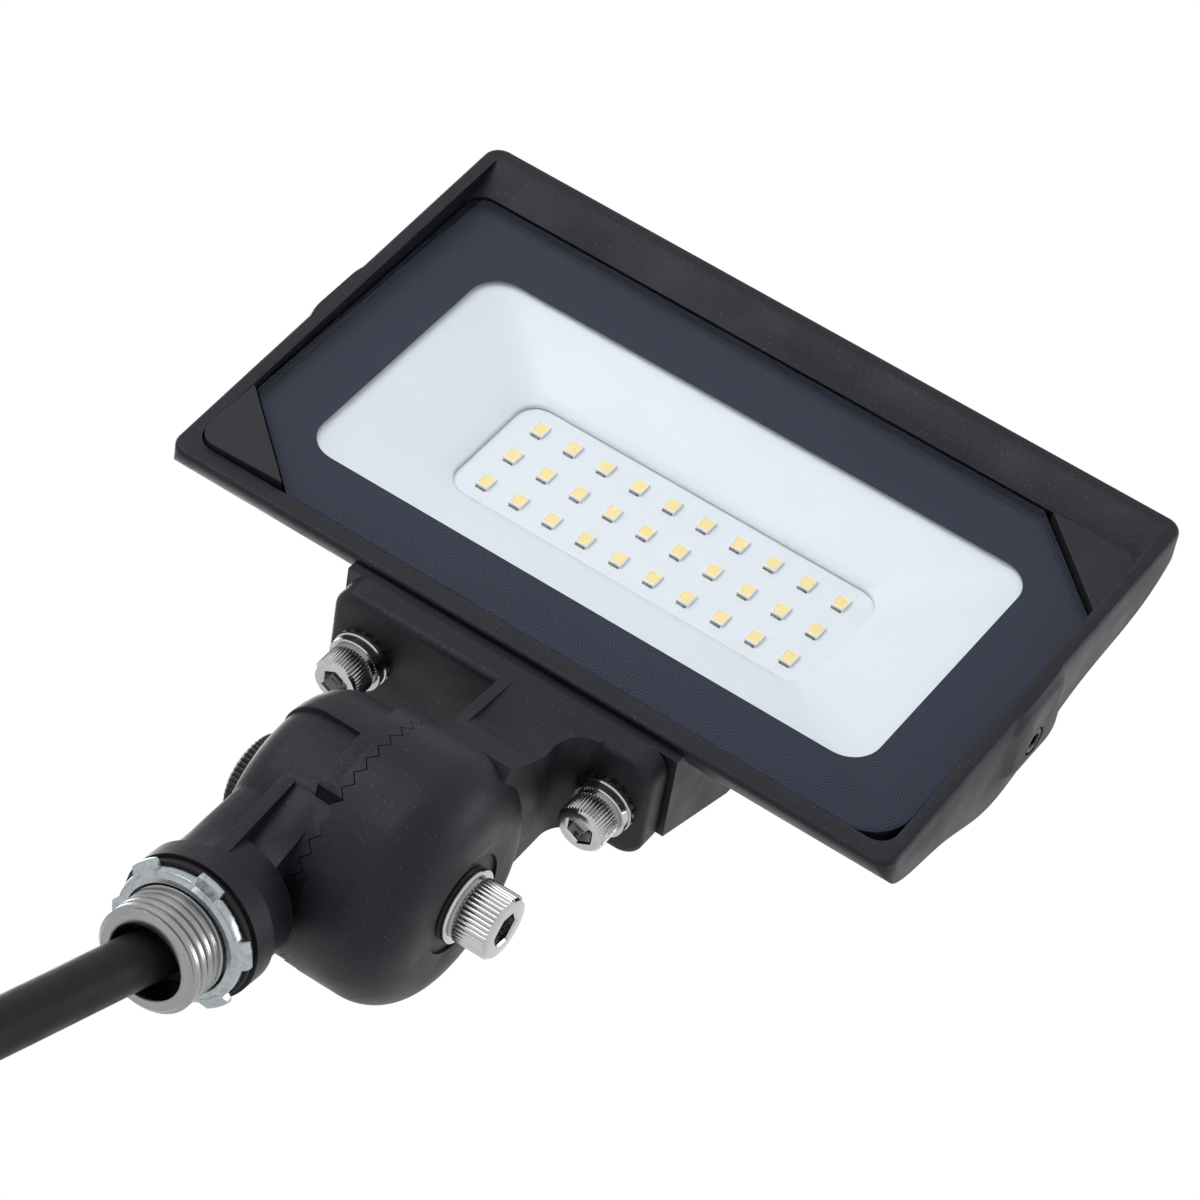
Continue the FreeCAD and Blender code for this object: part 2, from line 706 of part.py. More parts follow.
def neck_front(z):
    """Neck seen from the front, filleted into the flange on its outer side."""
    y = FLANGE_FRONT - BARREL_R
    top = FLANGE_LOW + FLANGE_T / 2
    turn = NECK_FILLET * (1 - math.sqrt(0.5))
    low = V(NECK_RIGHT, y, FLANGE_LOW - NECK_FILLET)
    high = V(NECK_RIGHT + NECK_FILLET, y, FLANGE_LOW)
    edges = [
        Part.makeLine(V(NECK_LEFT, y, z), V(NECK_RIGHT, y, z)),
        Part.makeLine(V(NECK_RIGHT, y, z), low),
        Part.Arc(low, V(NECK_RIGHT + turn, y, FLANGE_LOW - turn), high).toShape(),
        Part.makeLine(high, V(NECK_RIGHT + NECK_FILLET, y, top)),
        Part.makeLine(V(NECK_RIGHT + NECK_FILLET, y, top), V(NECK_LEFT, y, top)),
        Part.makeLine(V(NECK_LEFT, y, top), V(NECK_LEFT, y, z)),
    ]
    return Part.Face(Part.Wire(edges)).extrude(V(0, BARREL_R + FLANGE_DEPTH, 0))


def make_knuckle_arm():
    y = PIVOT_BACK
    z = -PIVOT_DROP
    barrel = revolve(dome_outline(HUB_RECESS, BARREL_END, BARREL_R, BARREL_DOME_R, y, z), y, z)
    flange = flange_plate(0, FLANGE_LOW, FLANGE_TOP)
    low = [e for e in flange.Edges if abs(e.CenterOfMass.z - FLANGE_LOW) < SEAT_GAP]
    flange = flange.makeFillet(FLANGE_EDGE_R, [e for e in low if len(e.Vertexes) == 2])
    neck = neck_side(y, z).common(neck_front(z))
    rib = prism(
        [
            V(RIB_LEFT, FLANGE_FRONT, FLANGE_LOW + FLANGE_T / 2),
            V(RIB_LEFT, FLANGE_FRONT - RIB_REACH, FLANGE_LOW - RIB_DROP),
            V(RIB_LEFT, y, z + BARREL_R / 2),
            V(RIB_LEFT, y, FLANGE_LOW + FLANGE_T / 2),
        ],
        V(RIB_T, 0, 0),
    )
    arm = barrel.multiFuse([flange, neck, rib])
    cuts = [rod(SPOTFACE_R, V(BARREL_SEAT, y, z), V(BARREL_END + OVERCUT, y, z))]
    cuts.append(rod(M8_HOLE_R, V(0, y, z), V(BARREL_END + OVERCUT, y, z)))
    head_room = V(0, 0, -FLAT_WASHER_T - SPRING_WASHER_T - M6_HEAD_H - OVERCUT)
    for x in (-FLANGE_SCREW_X, FLANGE_SCREW_X):
        seat = V(x, FLANGE_SCREW_Y, FLANGE_LOW)
        cuts.append(rod(FLAT_WASHER_R + RUN_GAP, seat, seat + head_room))
    arm = to_row(arm.cut(cuts))
    ring = tooth_ring(TOOTH_GAP / 2, TOOTH_X + ARM_RING_T)
    return arm.fuse(ring)


def flange_screw_stack(start, length, make):
    """One shape at each flange screw, from a height under the flange downwards."""
    shapes = []
    for x in (-FLANGE_SCREW_X, FLANGE_SCREW_X):
        top = V(x, FLANGE_SCREW_Y, FLANGE_LOW - start)
        shapes.append(make(top, top - V(0, 0, length)))
    return to_row(Part.makeCompound(shapes))


def make_flange_flat_washers():
    return flange_screw_stack(0, FLAT_WASHER_T, lambda a, b: washer(M6_R + RUN_GAP, FLAT_WASHER_R, a, b))


def spring_washer(start, end):
    """Washer with one slanting split."""
    ring = washer(M6_R + RUN_GAP, SPRING_WASHER_R, start, end)
    points = [
        start + V(-SPRING_SPLIT, 0, OVERCUT),
        start + V(0, 0, OVERCUT),
        end + V(SPRING_SPLIT, 0, -OVERCUT),
        end + V(0, 0, -OVERCUT),
    ]
    return ring.cut(prism(points, V(0, -SPRING_WASHER_R - OVERCUT, 0)))


def make_flange_spring_washers():
    return flange_screw_stack(FLAT_WASHER_T, SPRING_WASHER_T, spring_washer)


def socket_screw(r, length, head_r, head_h, socket, socket_depth, under, down):
    """Socket-head screw: under is the seat of its head and down points away from the shank."""
    head = rod(head_r, under, under + down * head_h)
    shank = rod(r, under, under - down * length)
    pocket = hexagon(socket, under + down * head_h, down * -socket_depth)
    return head.fuse(shank).cut(pocket)


def make_flange_screws():
    stack = FLAT_WASHER_T + SPRING_WASHER_T
    length = stack + FLANGE_T + FLANGE_GASKET_T + M6_GRIP

    def screw(under, end):
        return socket_screw(
            M6_R, length, M6_HEAD_R, M6_HEAD_H, M6_SOCKET, M6_SOCKET_DEPTH, under, V(0, 0, -1)
        )

    return flange_screw_stack(stack, M6_HEAD_H, screw)


def across(points, x0, x1):
    """Prism between two x values through (half y, z) points from top to bottom, alike on both sides."""
    ring = [V(x0, -half, z) for half, z in points]
    ring += [V(x0, half, z) for half, z in reversed(points)]
    return prism(ring, V(x1 - x0, 0, 0))


def base_drum():
    """Drum behind the teeth: its upper half stands out over the lower one."""
    end_x = TOOTH_X - DRUM_END
    hub_x = TOOTH_X - HUB_RECESS
    lower = revolve(dome_outline(hub_x, end_x, DRUM_R, DRUM_DOME_R, 0, PIVOT_Z), 0, PIVOT_Z)
    crown = revolve(dome_outline(hub_x, end_x, DRUM_TOP_R, DRUM_DOME_R, 0, PIVOT_Z), 0, PIVOT_Z)
    upper = box(end_x, hub_x, -TOOTH_R, TOOTH_R, PIVOT_Z - DRUM_STEP_DROP, PIVOT_Z + TOOTH_R)
    disc_start = V(TOOTH_X - BASE_RING_T, 0, PIVOT_Z)
    disc = rod(TOOTH_R, disc_start, V(hub_x, 0, PIVOT_Z))
    ring = tooth_ring(-TOOTH_GAP / 2, TOOTH_X - BASE_RING_T / 2 - HUB_RECESS / 2)
    return disc.multiFuse([lower, crown.common(upper), ring])


def make_knuckle_base():
    end_x = TOOTH_X - DRUM_END
    hub_x = TOOTH_X - HUB_RECESS
    ledge_z = PIVOT_Z - LEDGE_DROP
    collar_top = COLLAR_Z + COLLAR_H
    neck_top = collar_top + BASE_NECK_H
    rib_right = RIB_X + BASE_RIB_T
    floor = [(WEB_TOP_HALF, ledge_z), (WEB_LOW_HALF, neck_top), (WEB_LOW_HALF, collar_top)]
    far = [(2 * TOOTH_R, ledge_z), (2 * TOOTH_R, collar_top)]
    teeth_x = TOOTH_X + TOOTH_DEPTH
    pocket = across(far, rib_right, teeth_x).cut(across(floor, rib_right, teeth_x))
    web = across([(WEB_TOP_HALF, PIVOT_Z)] + floor, RIB_X, hub_x)
    rib = across([(BASE_RIB_TOP_HALF, ledge_z), (BASE_RIB_LOW_HALF, collar_top)], RIB_X, rib_right)
    skirt_x = end_x + SKIRT_INSET
    skirt = across([(SKIRT_TOP_HALF, PIVOT_Z), (SKIRT_LOW_HALF, collar_top)], skirt_x, rib_right)
    outer = [e for e in skirt.Edges if e.BoundBox.XMax < skirt_x + SLIP and e.BoundBox.ZLength > SLIP]
    skirt = skirt.makeFillet(SKIRT_R, outer)
    neck = rod(BASE_NECK_R, V(0, 0, collar_top), V(0, 0, neck_top))
    collar = rod(COLLAR_R, V(0, 0, COLLAR_Z), V(0, 0, collar_top))
    base = base_drum().cut(pocket).multiFuse([web, rib, skirt, neck, collar])
    hole = rod(M8_HOLE_R, V(end_x - OVERCUT, 0, PIVOT_Z), V(TOOTH_X, 0, PIVOT_Z))
    bore = rod(NIPPLE_BORE_R, V(0, 0, COLLAR_Z - OVERCUT), V(0, 0, neck_top))
    return base.cut([hole, bore])


def make_threaded_nipple():
    shank = rod(NIPPLE_SHANK_R, V(0, 0, 0), V(0, 0, COLLAR_Z))
    thread = rod(NIPPLE_R, V(0, 0, -NIPPLE_FREE), V(0, 0, 0))
    tip = V(0, 0, -NIPPLE_FREE - NIPPLE_LEAD)
    lead = Part.makeCone(NIPPLE_R - NIPPLE_LEAD, NIPPLE_R, NIPPLE_LEAD, tip)
    bore = rod(NIPPLE_BORE_R, tip - V(0, 0, OVERCUT), V(0, 0, COLLAR_Z + OVERCUT))
    return shank.multiFuse([thread, lead]).cut(bore)


def make_sealing_washer():
    top = V(0, 0, COLLAR_Z - SEAT_GAP)
    return washer(NIPPLE_R + RUN_GAP, SEAL_RING_R, top - V(0, 0, SEAL_RING_T), top)


def make_locknut():
    top = LOCKNUT_T + SEAT_GAP
    body = rod(LOCKNUT_R, V(0, 0, SEAT_GAP), V(0, 0, top))
    lugs = []
    for i in range(LUG_COUNT):
        lug = box(0, LUG_R, -LUG_W / 2, LUG_W / 2, top - LUG_T, top)
        lug.rotate(V(0, 0, 0), Z_AXIS, LUG_PHASE + i * 360 / LUG_COUNT)
        lugs.append(lug)
    hole = rod(NIPPLE_R + RUN_GAP / 2, V(0, 0, -OVERCUT), V(0, 0, top + OVERCUT))
    return body.multiFuse(lugs).cut(hole)


def make_cable_seal():
    bush = rod(NIPPLE_BORE_R - SLIP, V(0, 0, BUSH_LOW), V(0, 0, BUSH_TOP))
    run = CORD_ROUTE[1] - CORD_ROUTE[0]
    start = CORD_ROUTE[0] - run
    return bush.cut(rod(CORD_R + SLIP, start, CORD_ROUTE[1]))


def make_pivot_screw():
    under = V(TOOTH_X + BARREL_SEAT + SEAT_GAP + M8_WASHER_T, 0, PIVOT_Z)
    tip_x = TOOTH_X - DRUM_END - CAP_H + CAP_WALL + RUN_GAP
    return socket_screw(
        M8_R, under.x - tip_x, M8_HEAD_R, M8_HEAD_H, M8_SOCKET, M8_SOCKET_DEPTH, under, X_AXIS
    )


def make_pivot_washer():
    seat = V(TOOTH_X + BARREL_SEAT + SEAT_GAP, 0, PIVOT_Z)
    return washer(M8_R + SLIP, M8_WASHER_R, seat, seat + V(M8_WASHER_T, 0, 0))


def make_pivot_nut():
    seat = V(TOOTH_X - DRUM_END, 0, PIVOT_Z)
    cap = rod(CAP_R, seat - V(CAP_H, 0, 0), seat)
    return cap.cut(rod(M8_R + SLIP * 2, seat - V(CAP_H - CAP_WALL, 0, 0), seat + X_AXIS))


def tube(points, r, name):
    """Round tube along straight runs joined by the largest tangent arcs that the runs allow."""
    edges = []
    start = points[0]
    radii = []
    for before, here, after in zip(points, points[1:], points[2:]):
        back = before - here
        ahead = after - here
        reach = BEND_SHARE * min(back.Length, ahead.Length)
        back.normalize()
        ahead.normalize()
        turn = math.pi - back.getAngle(ahead)
        radius = reach / math.tan(turn / 2)
        radii.append(round(radius))
        inward = back + ahead
        inward.normalize()
        middle = here + inward * (radius / math.cos(turn / 2) - radius)
        edges.append(Part.makeLine(start, here + back * reach))
        edges.append(Part.Arc(here + back * reach, middle, here + ahead * reach).toShape())
        start = here + ahead * reach
    edges.append(Part.makeLine(start, points[-1]))
    path = Part.Wire(edges)
    section = Part.Wire(Part.makeCircle(r, points[0], points[1] - points[0]))
    solid = path.makePipeShell([section], True, False)
    share = solid.Volume / (math.pi * r * r * path.Length)
    print(name, "length", round(path.Length, 1), "bend radii", radii)
    print(name, "volume over section times length", round(share, 4))
    return solid


def make_supply_cord():
    return tube(CORD_ROUTE, CORD_R, "supply_cord")


def make_lead_wires():
    end = CORD_ROUTE[-1]
    along = end - CORD_ROUTE[-2]
    along.normalize()
    side = along.cross(Y_AXIS)
    side.normalize()
    other = along.cross(side)
    wires = []
    for i in range(WIRE_COUNT):
        a = math.pi / 2 + 2 * math.pi * i / WIRE_COUNT
        out = side * math.cos(a) + other * math.sin(a)
        first = end + out * WIRE_OFFSET
        second = first + along * WIRE_RUN
        third = second + along * WIRE_RUN + out * WIRE_SPREAD
        wires.append(tube([first, second, third], WIRE_R, "lead_wire"))
    return Part.makeCompound(wires)


PARTS = {
    "housing": make_housing,
    "lens_glass": make_lens_glass,
    "lens_gasket": make_lens_gasket,
    "corner_block_left": make_corner_block_left,
    "corner_block_right": make_corner_block_right,
    "reflector": make_reflector,
    "led_board": make_led_board,
    "led_packages": make_led_packages,
    "driver_components": make_driver_components,
    "board_screws": make_board_screws,
    "side_plugs": make_side_plugs,
    "flange_gasket": make_flange_gasket,
    "knuckle_arm": make_knuckle_arm,
    "flange_screws": make_flange_screws,
    "flange_spring_washers": make_flange_spring_washers,
    "flange_flat_washers": make_flange_flat_washers,
    "knuckle_base": make_knuckle_base,
    "threaded_nipple": make_threaded_nipple,
    "cable_seal": make_cable_seal,
    "pivot_nut": make_pivot_nut,
    "supply_cord": make_supply_cord,
    "lead_wires": make_lead_wires,
    "sealing_washer": make_sealing_washer,
    "locknut": make_locknut,
    "pivot_screw": make_pivot_screw,
    "pivot_washer": make_pivot_washer,
}

for node, make in PARTS.items():
    shape = make()
    shape.exportStep("parts/" + node + ".step")
    state = "valid" if shape.isValid() else "NOT VALID"
    print(node, len(shape.Solids), "solids", round(shape.Volume), "mm3", state)
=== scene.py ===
# %% Load the packed part
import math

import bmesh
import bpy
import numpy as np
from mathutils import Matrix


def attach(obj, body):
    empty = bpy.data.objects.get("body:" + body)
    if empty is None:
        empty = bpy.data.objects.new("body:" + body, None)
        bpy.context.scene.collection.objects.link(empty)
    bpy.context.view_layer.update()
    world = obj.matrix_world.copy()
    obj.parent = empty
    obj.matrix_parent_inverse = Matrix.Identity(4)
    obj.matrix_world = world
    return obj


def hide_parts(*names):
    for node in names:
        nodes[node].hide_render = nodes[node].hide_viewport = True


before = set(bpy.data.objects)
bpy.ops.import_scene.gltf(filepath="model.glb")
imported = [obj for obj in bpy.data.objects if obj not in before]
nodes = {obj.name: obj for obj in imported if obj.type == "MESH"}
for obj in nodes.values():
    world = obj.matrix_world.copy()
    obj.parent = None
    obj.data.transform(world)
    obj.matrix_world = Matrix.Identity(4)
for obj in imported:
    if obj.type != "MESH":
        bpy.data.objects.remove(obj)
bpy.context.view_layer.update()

# %% [markdown]
# # A flood light on a toothed knuckle
# The packed solids give every piece its place: a die-cast head with a lens, an arm and a base that
# meet in a ring of face teeth, and a threaded nipple with its locknut and supply cord. This script
# dresses them. Castings keep their solid shape and get smooth shading and a powder coat, while the
# pieces that carry fine detail (thread, knurled screws, lens print, light sources) are surfaces
# worked out with numpy and put in the place of the plain solids.

# %% [markdown]
# ## Camera
# The photograph looks up at the lamp from below and from its right, with a long lens. A camera's
# matrix holds its right, up and backward directions as columns, so the three directions that were
# fitted to the lens outline can be written in directly, with no aiming constraint.

# %% Camera
CAMERA_PLACE = (0.308746, -0.593882, -0.590622)
CAMERA_RIGHT = np.array((0.820735, -0.220998, 0.526834))
CAMERA_UP = np.array((-0.478945, -0.768880, 0.423598))
CAMERA_LENS_MM = 154.2
camera_back = np.cross(CAMERA_RIGHT, CAMERA_UP)
camera_data = bpy.data.cameras.new("camera")
camera_data.lens = CAMERA_LENS_MM
camera_data.sensor_width = 36.0
camera_data.clip_start = 0.01
camera = bpy.data.objects.new("camera", camera_data)
columns = np.column_stack((CAMERA_RIGHT, CAMERA_UP, camera_back, CAMERA_PLACE))
camera.matrix_world = Matrix(np.vstack((columns, (0, 0, 0, 1))).tolist())
bpy.context.scene.collection.objects.link(camera)
bpy.context.scene.camera = camera
bpy.context.scene.view_settings.view_transform = "Standard"
print("camera looks along", (-camera_back).round(3))

# %% [markdown]
# ## Light
# A white studio: what the camera, mirrors and glass see of the world is plain white, and the light
# that the world throws on the lamp is dimmer, so that dark paint stays dark. One soft lamp stands in
# front of the lens, to its left and a little below, and lights the tray. A smaller one stands high on
# the right, and the largest stands high on the left, behind the lens.

# %% Light
AMBIENT = 0.3
FLOOR_Z = -1.05
FLOOR_HALF = 9.0
FLOOR_SEEN = 0.62


def seen_strength(tree, other, seen):
    """Socket with one strength for camera, glossy and transmission rays and another for the rest."""
    path = tree.nodes.new("ShaderNodeLightPath")
    rays = path.outputs["Is Camera Ray"]
    for name in ("Is Glossy Ray", "Is Transmission Ray"):
        either = tree.nodes.new("ShaderNodeMath")
        either.operation = "MAXIMUM"
        tree.links.new(rays, either.inputs[0])
        tree.links.new(path.outputs[name], either.inputs[1])
        rays = either.outputs[0]
    strength = tree.nodes.new("ShaderNodeMapRange")
    strength.inputs["To Min"].default_value = other
    strength.inputs["To Max"].default_value = seen
    tree.links.new(rays, strength.inputs["Value"])
    return strength.outputs["Result"]


def studio_world():
    """World whose strength is 1 where it is seen, mirrored or looked at through glass, else AMBIENT."""
    world = bpy.data.worlds.new("studio")
    world.use_nodes = True
    tree = world.node_tree
    tree.nodes.clear()
    sky = tree.nodes.new("ShaderNodeBackground")
    sky.inputs["Color"].default_value = (1, 1, 1, 1)
    tree.links.new(seen_strength(tree, AMBIENT, 1.0), sky.inputs["Strength"])
    out = tree.nodes.new("ShaderNodeOutputWorld")
    tree.links.new(sky.outputs[0], out.inputs["Surface"])
    bpy.context.scene.world = world


LAMP_TARGET = np.array((0.01, -0.02, 0.09))


def soft_lamp(name, offset, size, watts):
    """Square lamp at an offset in metres from the target, facing it."""
    data = bpy.data.lights.new(name, "AREA")
    data.shape = "SQUARE"
    data.size = size
    data.energy = watts
    lamp = bpy.data.objects.new(name, data)
    place = LAMP_TARGET + offset
    towards = np.array(offset) / np.linalg.norm(offset)
    side = np.cross((0.1, 0.1, 1.0), towards)
    side /= np.linalg.norm(side)
    turned = np.column_stack((side, np.cross(towards, side), towards, place))
    lamp.matrix_world = Matrix(np.vstack((turned, (0, 0, 0, 1))).tolist())
    bpy.context.scene.collection.objects.link(lamp)
    return lamp


studio_world()
soft_lamp("key_lamp", (-0.62, -1.05, -0.22), 0.8, 5.2)
soft_lamp("side_lamp", (1.0, -0.2, 0.8), 0.5, 3.5)
soft_lamp("top_lamp", (-0.7, 0.7, 0.9), 0.9, 8.0)

floor_corners = FLOOR_HALF * np.array(((-1, -1), (1, -1), (1, 1), (-1, 1)))
floor_mesh = bpy.data.meshes.new("floor")
floor_mesh.from_pydata([(x, y, FLOOR_Z) for x, y in floor_corners], [], [(0, 1, 2, 3)])
floor = bpy.data.objects.new("floor", floor_mesh)
bpy.context.scene.collection.objects.link(floor)

# %% [markdown]
# ## Node helpers
# Each finish is a Principled shader with a few texture nodes on Object coordinates. The pieces all
# sit at the origin, so one Object unit is one metre and a noise scale of 1000 makes grains of about
# a millimetre. A small class keeps the wiring short.


# %% Node helpers
class Finish:
    """A material with its Principled shader and the few wiring steps that the finishes share."""

    def __init__(self, name, colour, roughness, metallic=0.0):
        self.material = bpy.data.materials.new(name)
        self.material.use_nodes = True
        self.tree = self.material.node_tree
        self.shader = self.tree.nodes["Principled BSDF"]
        self.set("Base Color", (*colour, 1.0))
        self.set("Roughness", roughness)
        self.set("Metallic", metallic)
        self.material.diffuse_color = (*colour, 1.0)
        self.coords = self.tree.nodes.new("ShaderNodeTexCoord").outputs["Object"]

    def set(self, socket, value):
        self.shader.inputs[socket].default_value = value
        return self

    def node(self, kind, **inputs):
        made = self.tree.nodes.new(kind)
        for name, value in inputs.items():
            socket = made.inputs[name.replace("_", " ")]
            if isinstance(value, bpy.types.NodeSocket):
                self.tree.links.new(value, socket)
            else:
                socket.default_value = value
        return made

    def noise(self, scale, detail=2.0, stretch=(1, 1, 1)):
        """Noise on Object coordinates, stretched by a scale along each axis."""
        mapped = self.node("ShaderNodeMapping", Vector=self.coords, Scale=stretch)
        made = self.node("ShaderNodeTexNoise", Vector=mapped.outputs[0], Scale=scale, Detail=detail)
        return made.outputs["Fac"]

    def spread(self, value, low, high, socket, start=0.3, end=0.7):
        """Sends a value, spread from low to high, to a socket of the shader."""
        ranged = self.node("ShaderNodeMapRange", Value=value, From_Min=start, From_Max=end)
        ranged.inputs["To Min"].default_value = low
        ranged.inputs["To Max"].default_value = high
        self.tree.links.new(ranged.outputs["Result"], self.shader.inputs[socket])
        return self

    def bump(self, height, strength, distance):
        made = self.node("ShaderNodeBump", Height=height, Strength=strength, Distance=distance)
        self.tree.links.new(made.outputs["Normal"], self.shader.inputs["Normal"])
        return self

    def mix(self, factor, first, second):
        """Blends two colours by a factor and sends the result to the base colour."""
        made = self.tree.nodes.new("ShaderNodeMix")
        made.data_type = "RGBA"
        colours = [s for s in made.inputs if s.type == "RGBA"]
        self.tree.links.new(factor, made.inputs[0])
        colours[0].default_value = (*first, 1.0)
        colours[1].default_value = (*second, 1.0)
        result = [s for s in made.outputs if s.type == "RGBA"][0]
        self.tree.links.new(result, self.shader.inputs["Base Color"])
        return self


print("wiring steps", [step for step in vars(Finish) if not step.startswith("_")])

# %% [markdown]
# ## Finishes
# Powder coat is paint baked from dust: its skin is slightly pebbled, it is never a pure black, and a
# few grains are glossier and painted lighter, a painted glint. Plated screws are nearly mirrors with a
# faint haze, zinc has soft cloudy patches, and the turned nipple keeps fine rings from the tool. Rubber and
# cord are matte.

# %% Finishes
COAT = (0.0115, 0.0112, 0.0155)
# Lighter colour of the grains: a painted glint.
COAT_GRAIN_GLINT = (0.05, 0.05, 0.056)


def powder_coat():
    """Near-black paint: pebbled 0.5 mm bump, cloudy gloss, and painted glints on glossy grains near cell
    centres.
    """
    paint = Finish("powder_coat", COAT, 0.5)
    paint.set("Specular Tint", (0.88, 0.88, 1.0, 1.0))
    cells = paint.node("ShaderNodeTexVoronoi", Vector=paint.coords, Scale=900.0)
    grain = paint.node("ShaderNodeMapRange", Value=cells.outputs["Distance"], From_Min=0.14, From_Max=0.04)
    # Grains near a cell's centre get the lighter colour, a painted glint, and a higher gloss.
    paint.mix(grain.outputs["Result"], COAT, COAT_GRAIN_GLINT)
    paint.spread(grain.outputs["Result"], 0.3, 0.9, "Specular IOR Level", 0.0, 1.0)
    paint.spread(paint.noise(90.0), 0.42, 0.56, "Roughness")
    paint.bump(paint.noise(2100.0, 3.0), 0.22, 0.0002)
    return paint.material


def plated_steel(name, colour, low, high, patch, dim):
    """Plated metal: in patches its roughness drifts from low to high and its tone falls to a share, dim."""
    metal = Finish(name, colour, low, 1.0)
    clouds = metal.noise(patch, 3.0)
    metal.spread(clouds, low, high, "Roughness")
    metal.mix(clouds, [dim * tone for tone in colour], colour)
    metal.bump(metal.noise(patch * 9, 2.0), 0.08, 0.0001)
    return metal.material


def turned_metal():
    """Bare metal with fine rings: noise squeezed along Z and even round the axis."""
    metal = Finish("turned_metal", (0.32, 0.313, 0.312), 0.3, 1.0)
    rings = metal.noise(60.0, 4.0, (0.6, 0.6, 40.0))
    metal.spread(rings, 0.22, 0.36, "Roughness")
    metal.bump(rings, 0.3, 0.0002)
    return metal.material


def soft_skin(name, colour, roughness, grain, gloss=0.5):
    """Matte rubber, plastic or resist with a fine grain."""
    skin = Finish(name, colour, roughness)
    skin.set("Specular IOR Level", gloss)
    skin.spread(skin.noise(grain / 8), roughness - 0.07, roughness + 0.07, "Roughness")
    skin.bump(skin.noise(grain, 2.0), 0.1, 0.0001)
    return skin.material


def glass_print_and_sheen():
    """Dark ink baked to the glass: even, with the gloss of the glass, and a colour that also holds painted
    sheen.
    """
    ink = Finish("lens_print_and_sheen", (0.037, 0.044, 0.07), 0.2)
    ink.set("Specular IOR Level", 0.1)
    ink.spread(ink.noise(30.0), 0.18, 0.26, "Roughness")
    return ink.material


def clear_glass():
    """Clear pane: full transmission, a smooth face and a coating that keeps reflections down."""
    pane = Finish("clear_glass", (0.97, 0.985, 0.98), 0.0)
    pane.set("Transmission Weight", 1.0).set("IOR", 1.47).set("Specular Tint", (0.0, 0.0, 0.0, 1.0))
    return pane.material


def floor_paint():
    """Pale paint that is nearly white where it is seen, and still takes the lamp's shadow."""
    paint = Finish("floor_paint", (0.86, 0.86, 0.86), 0.8)
    paint.set("Emission Color", (1, 1, 1, 1))
    paint.tree.links.new(seen_strength(paint.tree, 0.0, FLOOR_SEEN), paint.shader.inputs["Emission Strength"])
    return paint.material


finishes = {
    "powder_coat": powder_coat(),
    "bright_steel": plated_steel("bright_steel", (0.54, 0.53, 0.525), 0.08, 0.18, 700.0, 0.85),
    "zinc_steel": plated_steel("zinc_steel", (0.52, 0.57, 0.6), 0.16, 0.34, 900.0, 0.4),
    "black_steel": plated_steel("black_steel", (0.035, 0.034, 0.036), 0.3, 0.45, 400.0, 0.8),
    "bare_metal": turned_metal(),
    "lens": clear_glass(),
    "lens_print_and_sheen": glass_print_and_sheen(),
    "soft_black": soft_skin("soft_black", (0.012, 0.012, 0.013), 0.62, 1600.0, 0.3),
    "block_black": soft_skin("block_black", (0.021, 0.0205, 0.027), 0.5, 2400.0, 0.3),
    "white_tray": soft_skin("white_tray", (0.74, 0.785, 0.86), 0.36, 1200.0),
    "board_white": soft_skin("board_white", (0.76, 0.795, 0.86), 0.42, 1500.0),
    "case_white": soft_skin("case_white", (0.84, 0.84, 0.83), 0.4, 3000.0),
    "phosphor": soft_skin("phosphor", (0.95, 0.77, 0.36), 0.32, 5000.0),
    "chip_black": soft_skin("chip_black", (0.015, 0.015, 0.016), 0.5, 2000.0),
    "cord_sleeve": soft_skin("cord_sleeve", (0.0085, 0.0085, 0.0105), 0.5, 1800.0, 0.24),
    "lead_black": soft_skin("lead_black", (0.012, 0.012, 0.012), 0.35, 1500.0),
    "lead_white": soft_skin("lead_white", (0.78, 0.78, 0.76), 0.35, 1500.0),
    "lead_green": soft_skin("lead_green", (0.02, 0.22, 0.06), 0.35, 1500.0),
    # Dark solder colour: solder plus painted shade under each case.
    "solder": plated_steel("solder", (0.14, 0.135, 0.135), 0.2, 0.35, 900.0, 0.8),
    "tinned_tip": plated_steel("tinned_tip", (0.66, 0.65, 0.62), 0.25, 0.4, 900.0, 0.8),
    "floor_paint": floor_paint(),
}
floor.data.materials.append(finishes["floor_paint"])
print("finishes", len(finishes))

# %% [markdown]
# ## Meshes from grids
# A surface is an array of points with rows and columns. Neighbouring rows and columns make four-sided
# faces, and a column index that wraps round closes a ring. Rows that shrink to a point close an end.
# Doubles are then merged, faces are turned outwards, and only real corners stay sharp.

# %% Meshes from grids
MM = 0.001
TURN = 2 * math.pi


def grid_faces(rows, columns, closed_rows=False):
    """Quads of a grid whose columns wrap round, and whose last row meets the first if closed_rows."""
    upper = np.arange(rows if closed_rows else rows - 1)[:, None] * columns
    lower = (upper + columns) % (rows * columns)
    here = np.arange(columns)[None, :]
    there = (here + 1) % columns
    return np.stack((upper + here, upper + there, lower + there, lower + here), -1).reshape(-1, 4)


def as_grids(points, closed_rows=False):
    """Points and quads of one grid (rows, columns, 3), or of several stacked in front of those axes."""
    stack = points.reshape(-1, *points.shape[-3:])
    count, rows, columns = stack.shape[:3]
    quads = grid_faces(rows, columns, closed_rows)
    shift = np.arange(count)[:, None, None] * rows * columns
    return stack.reshape(-1, 3), (quads[None] + shift).reshape(-1, 4)


def piece(name, points, quads, body, slot, finish, replaces=(), sharp_deg=35.0):
    """Makes the object in metres, merges doubles, turns faces outwards and hangs it on its body."""
    mesh = bpy.data.meshes.new(name)
    mesh.from_pydata((np.asarray(points) * MM).tolist(), [], np.asarray(quads).tolist())
    return dress(mesh, name, body, finish, replaces, sharp_deg)


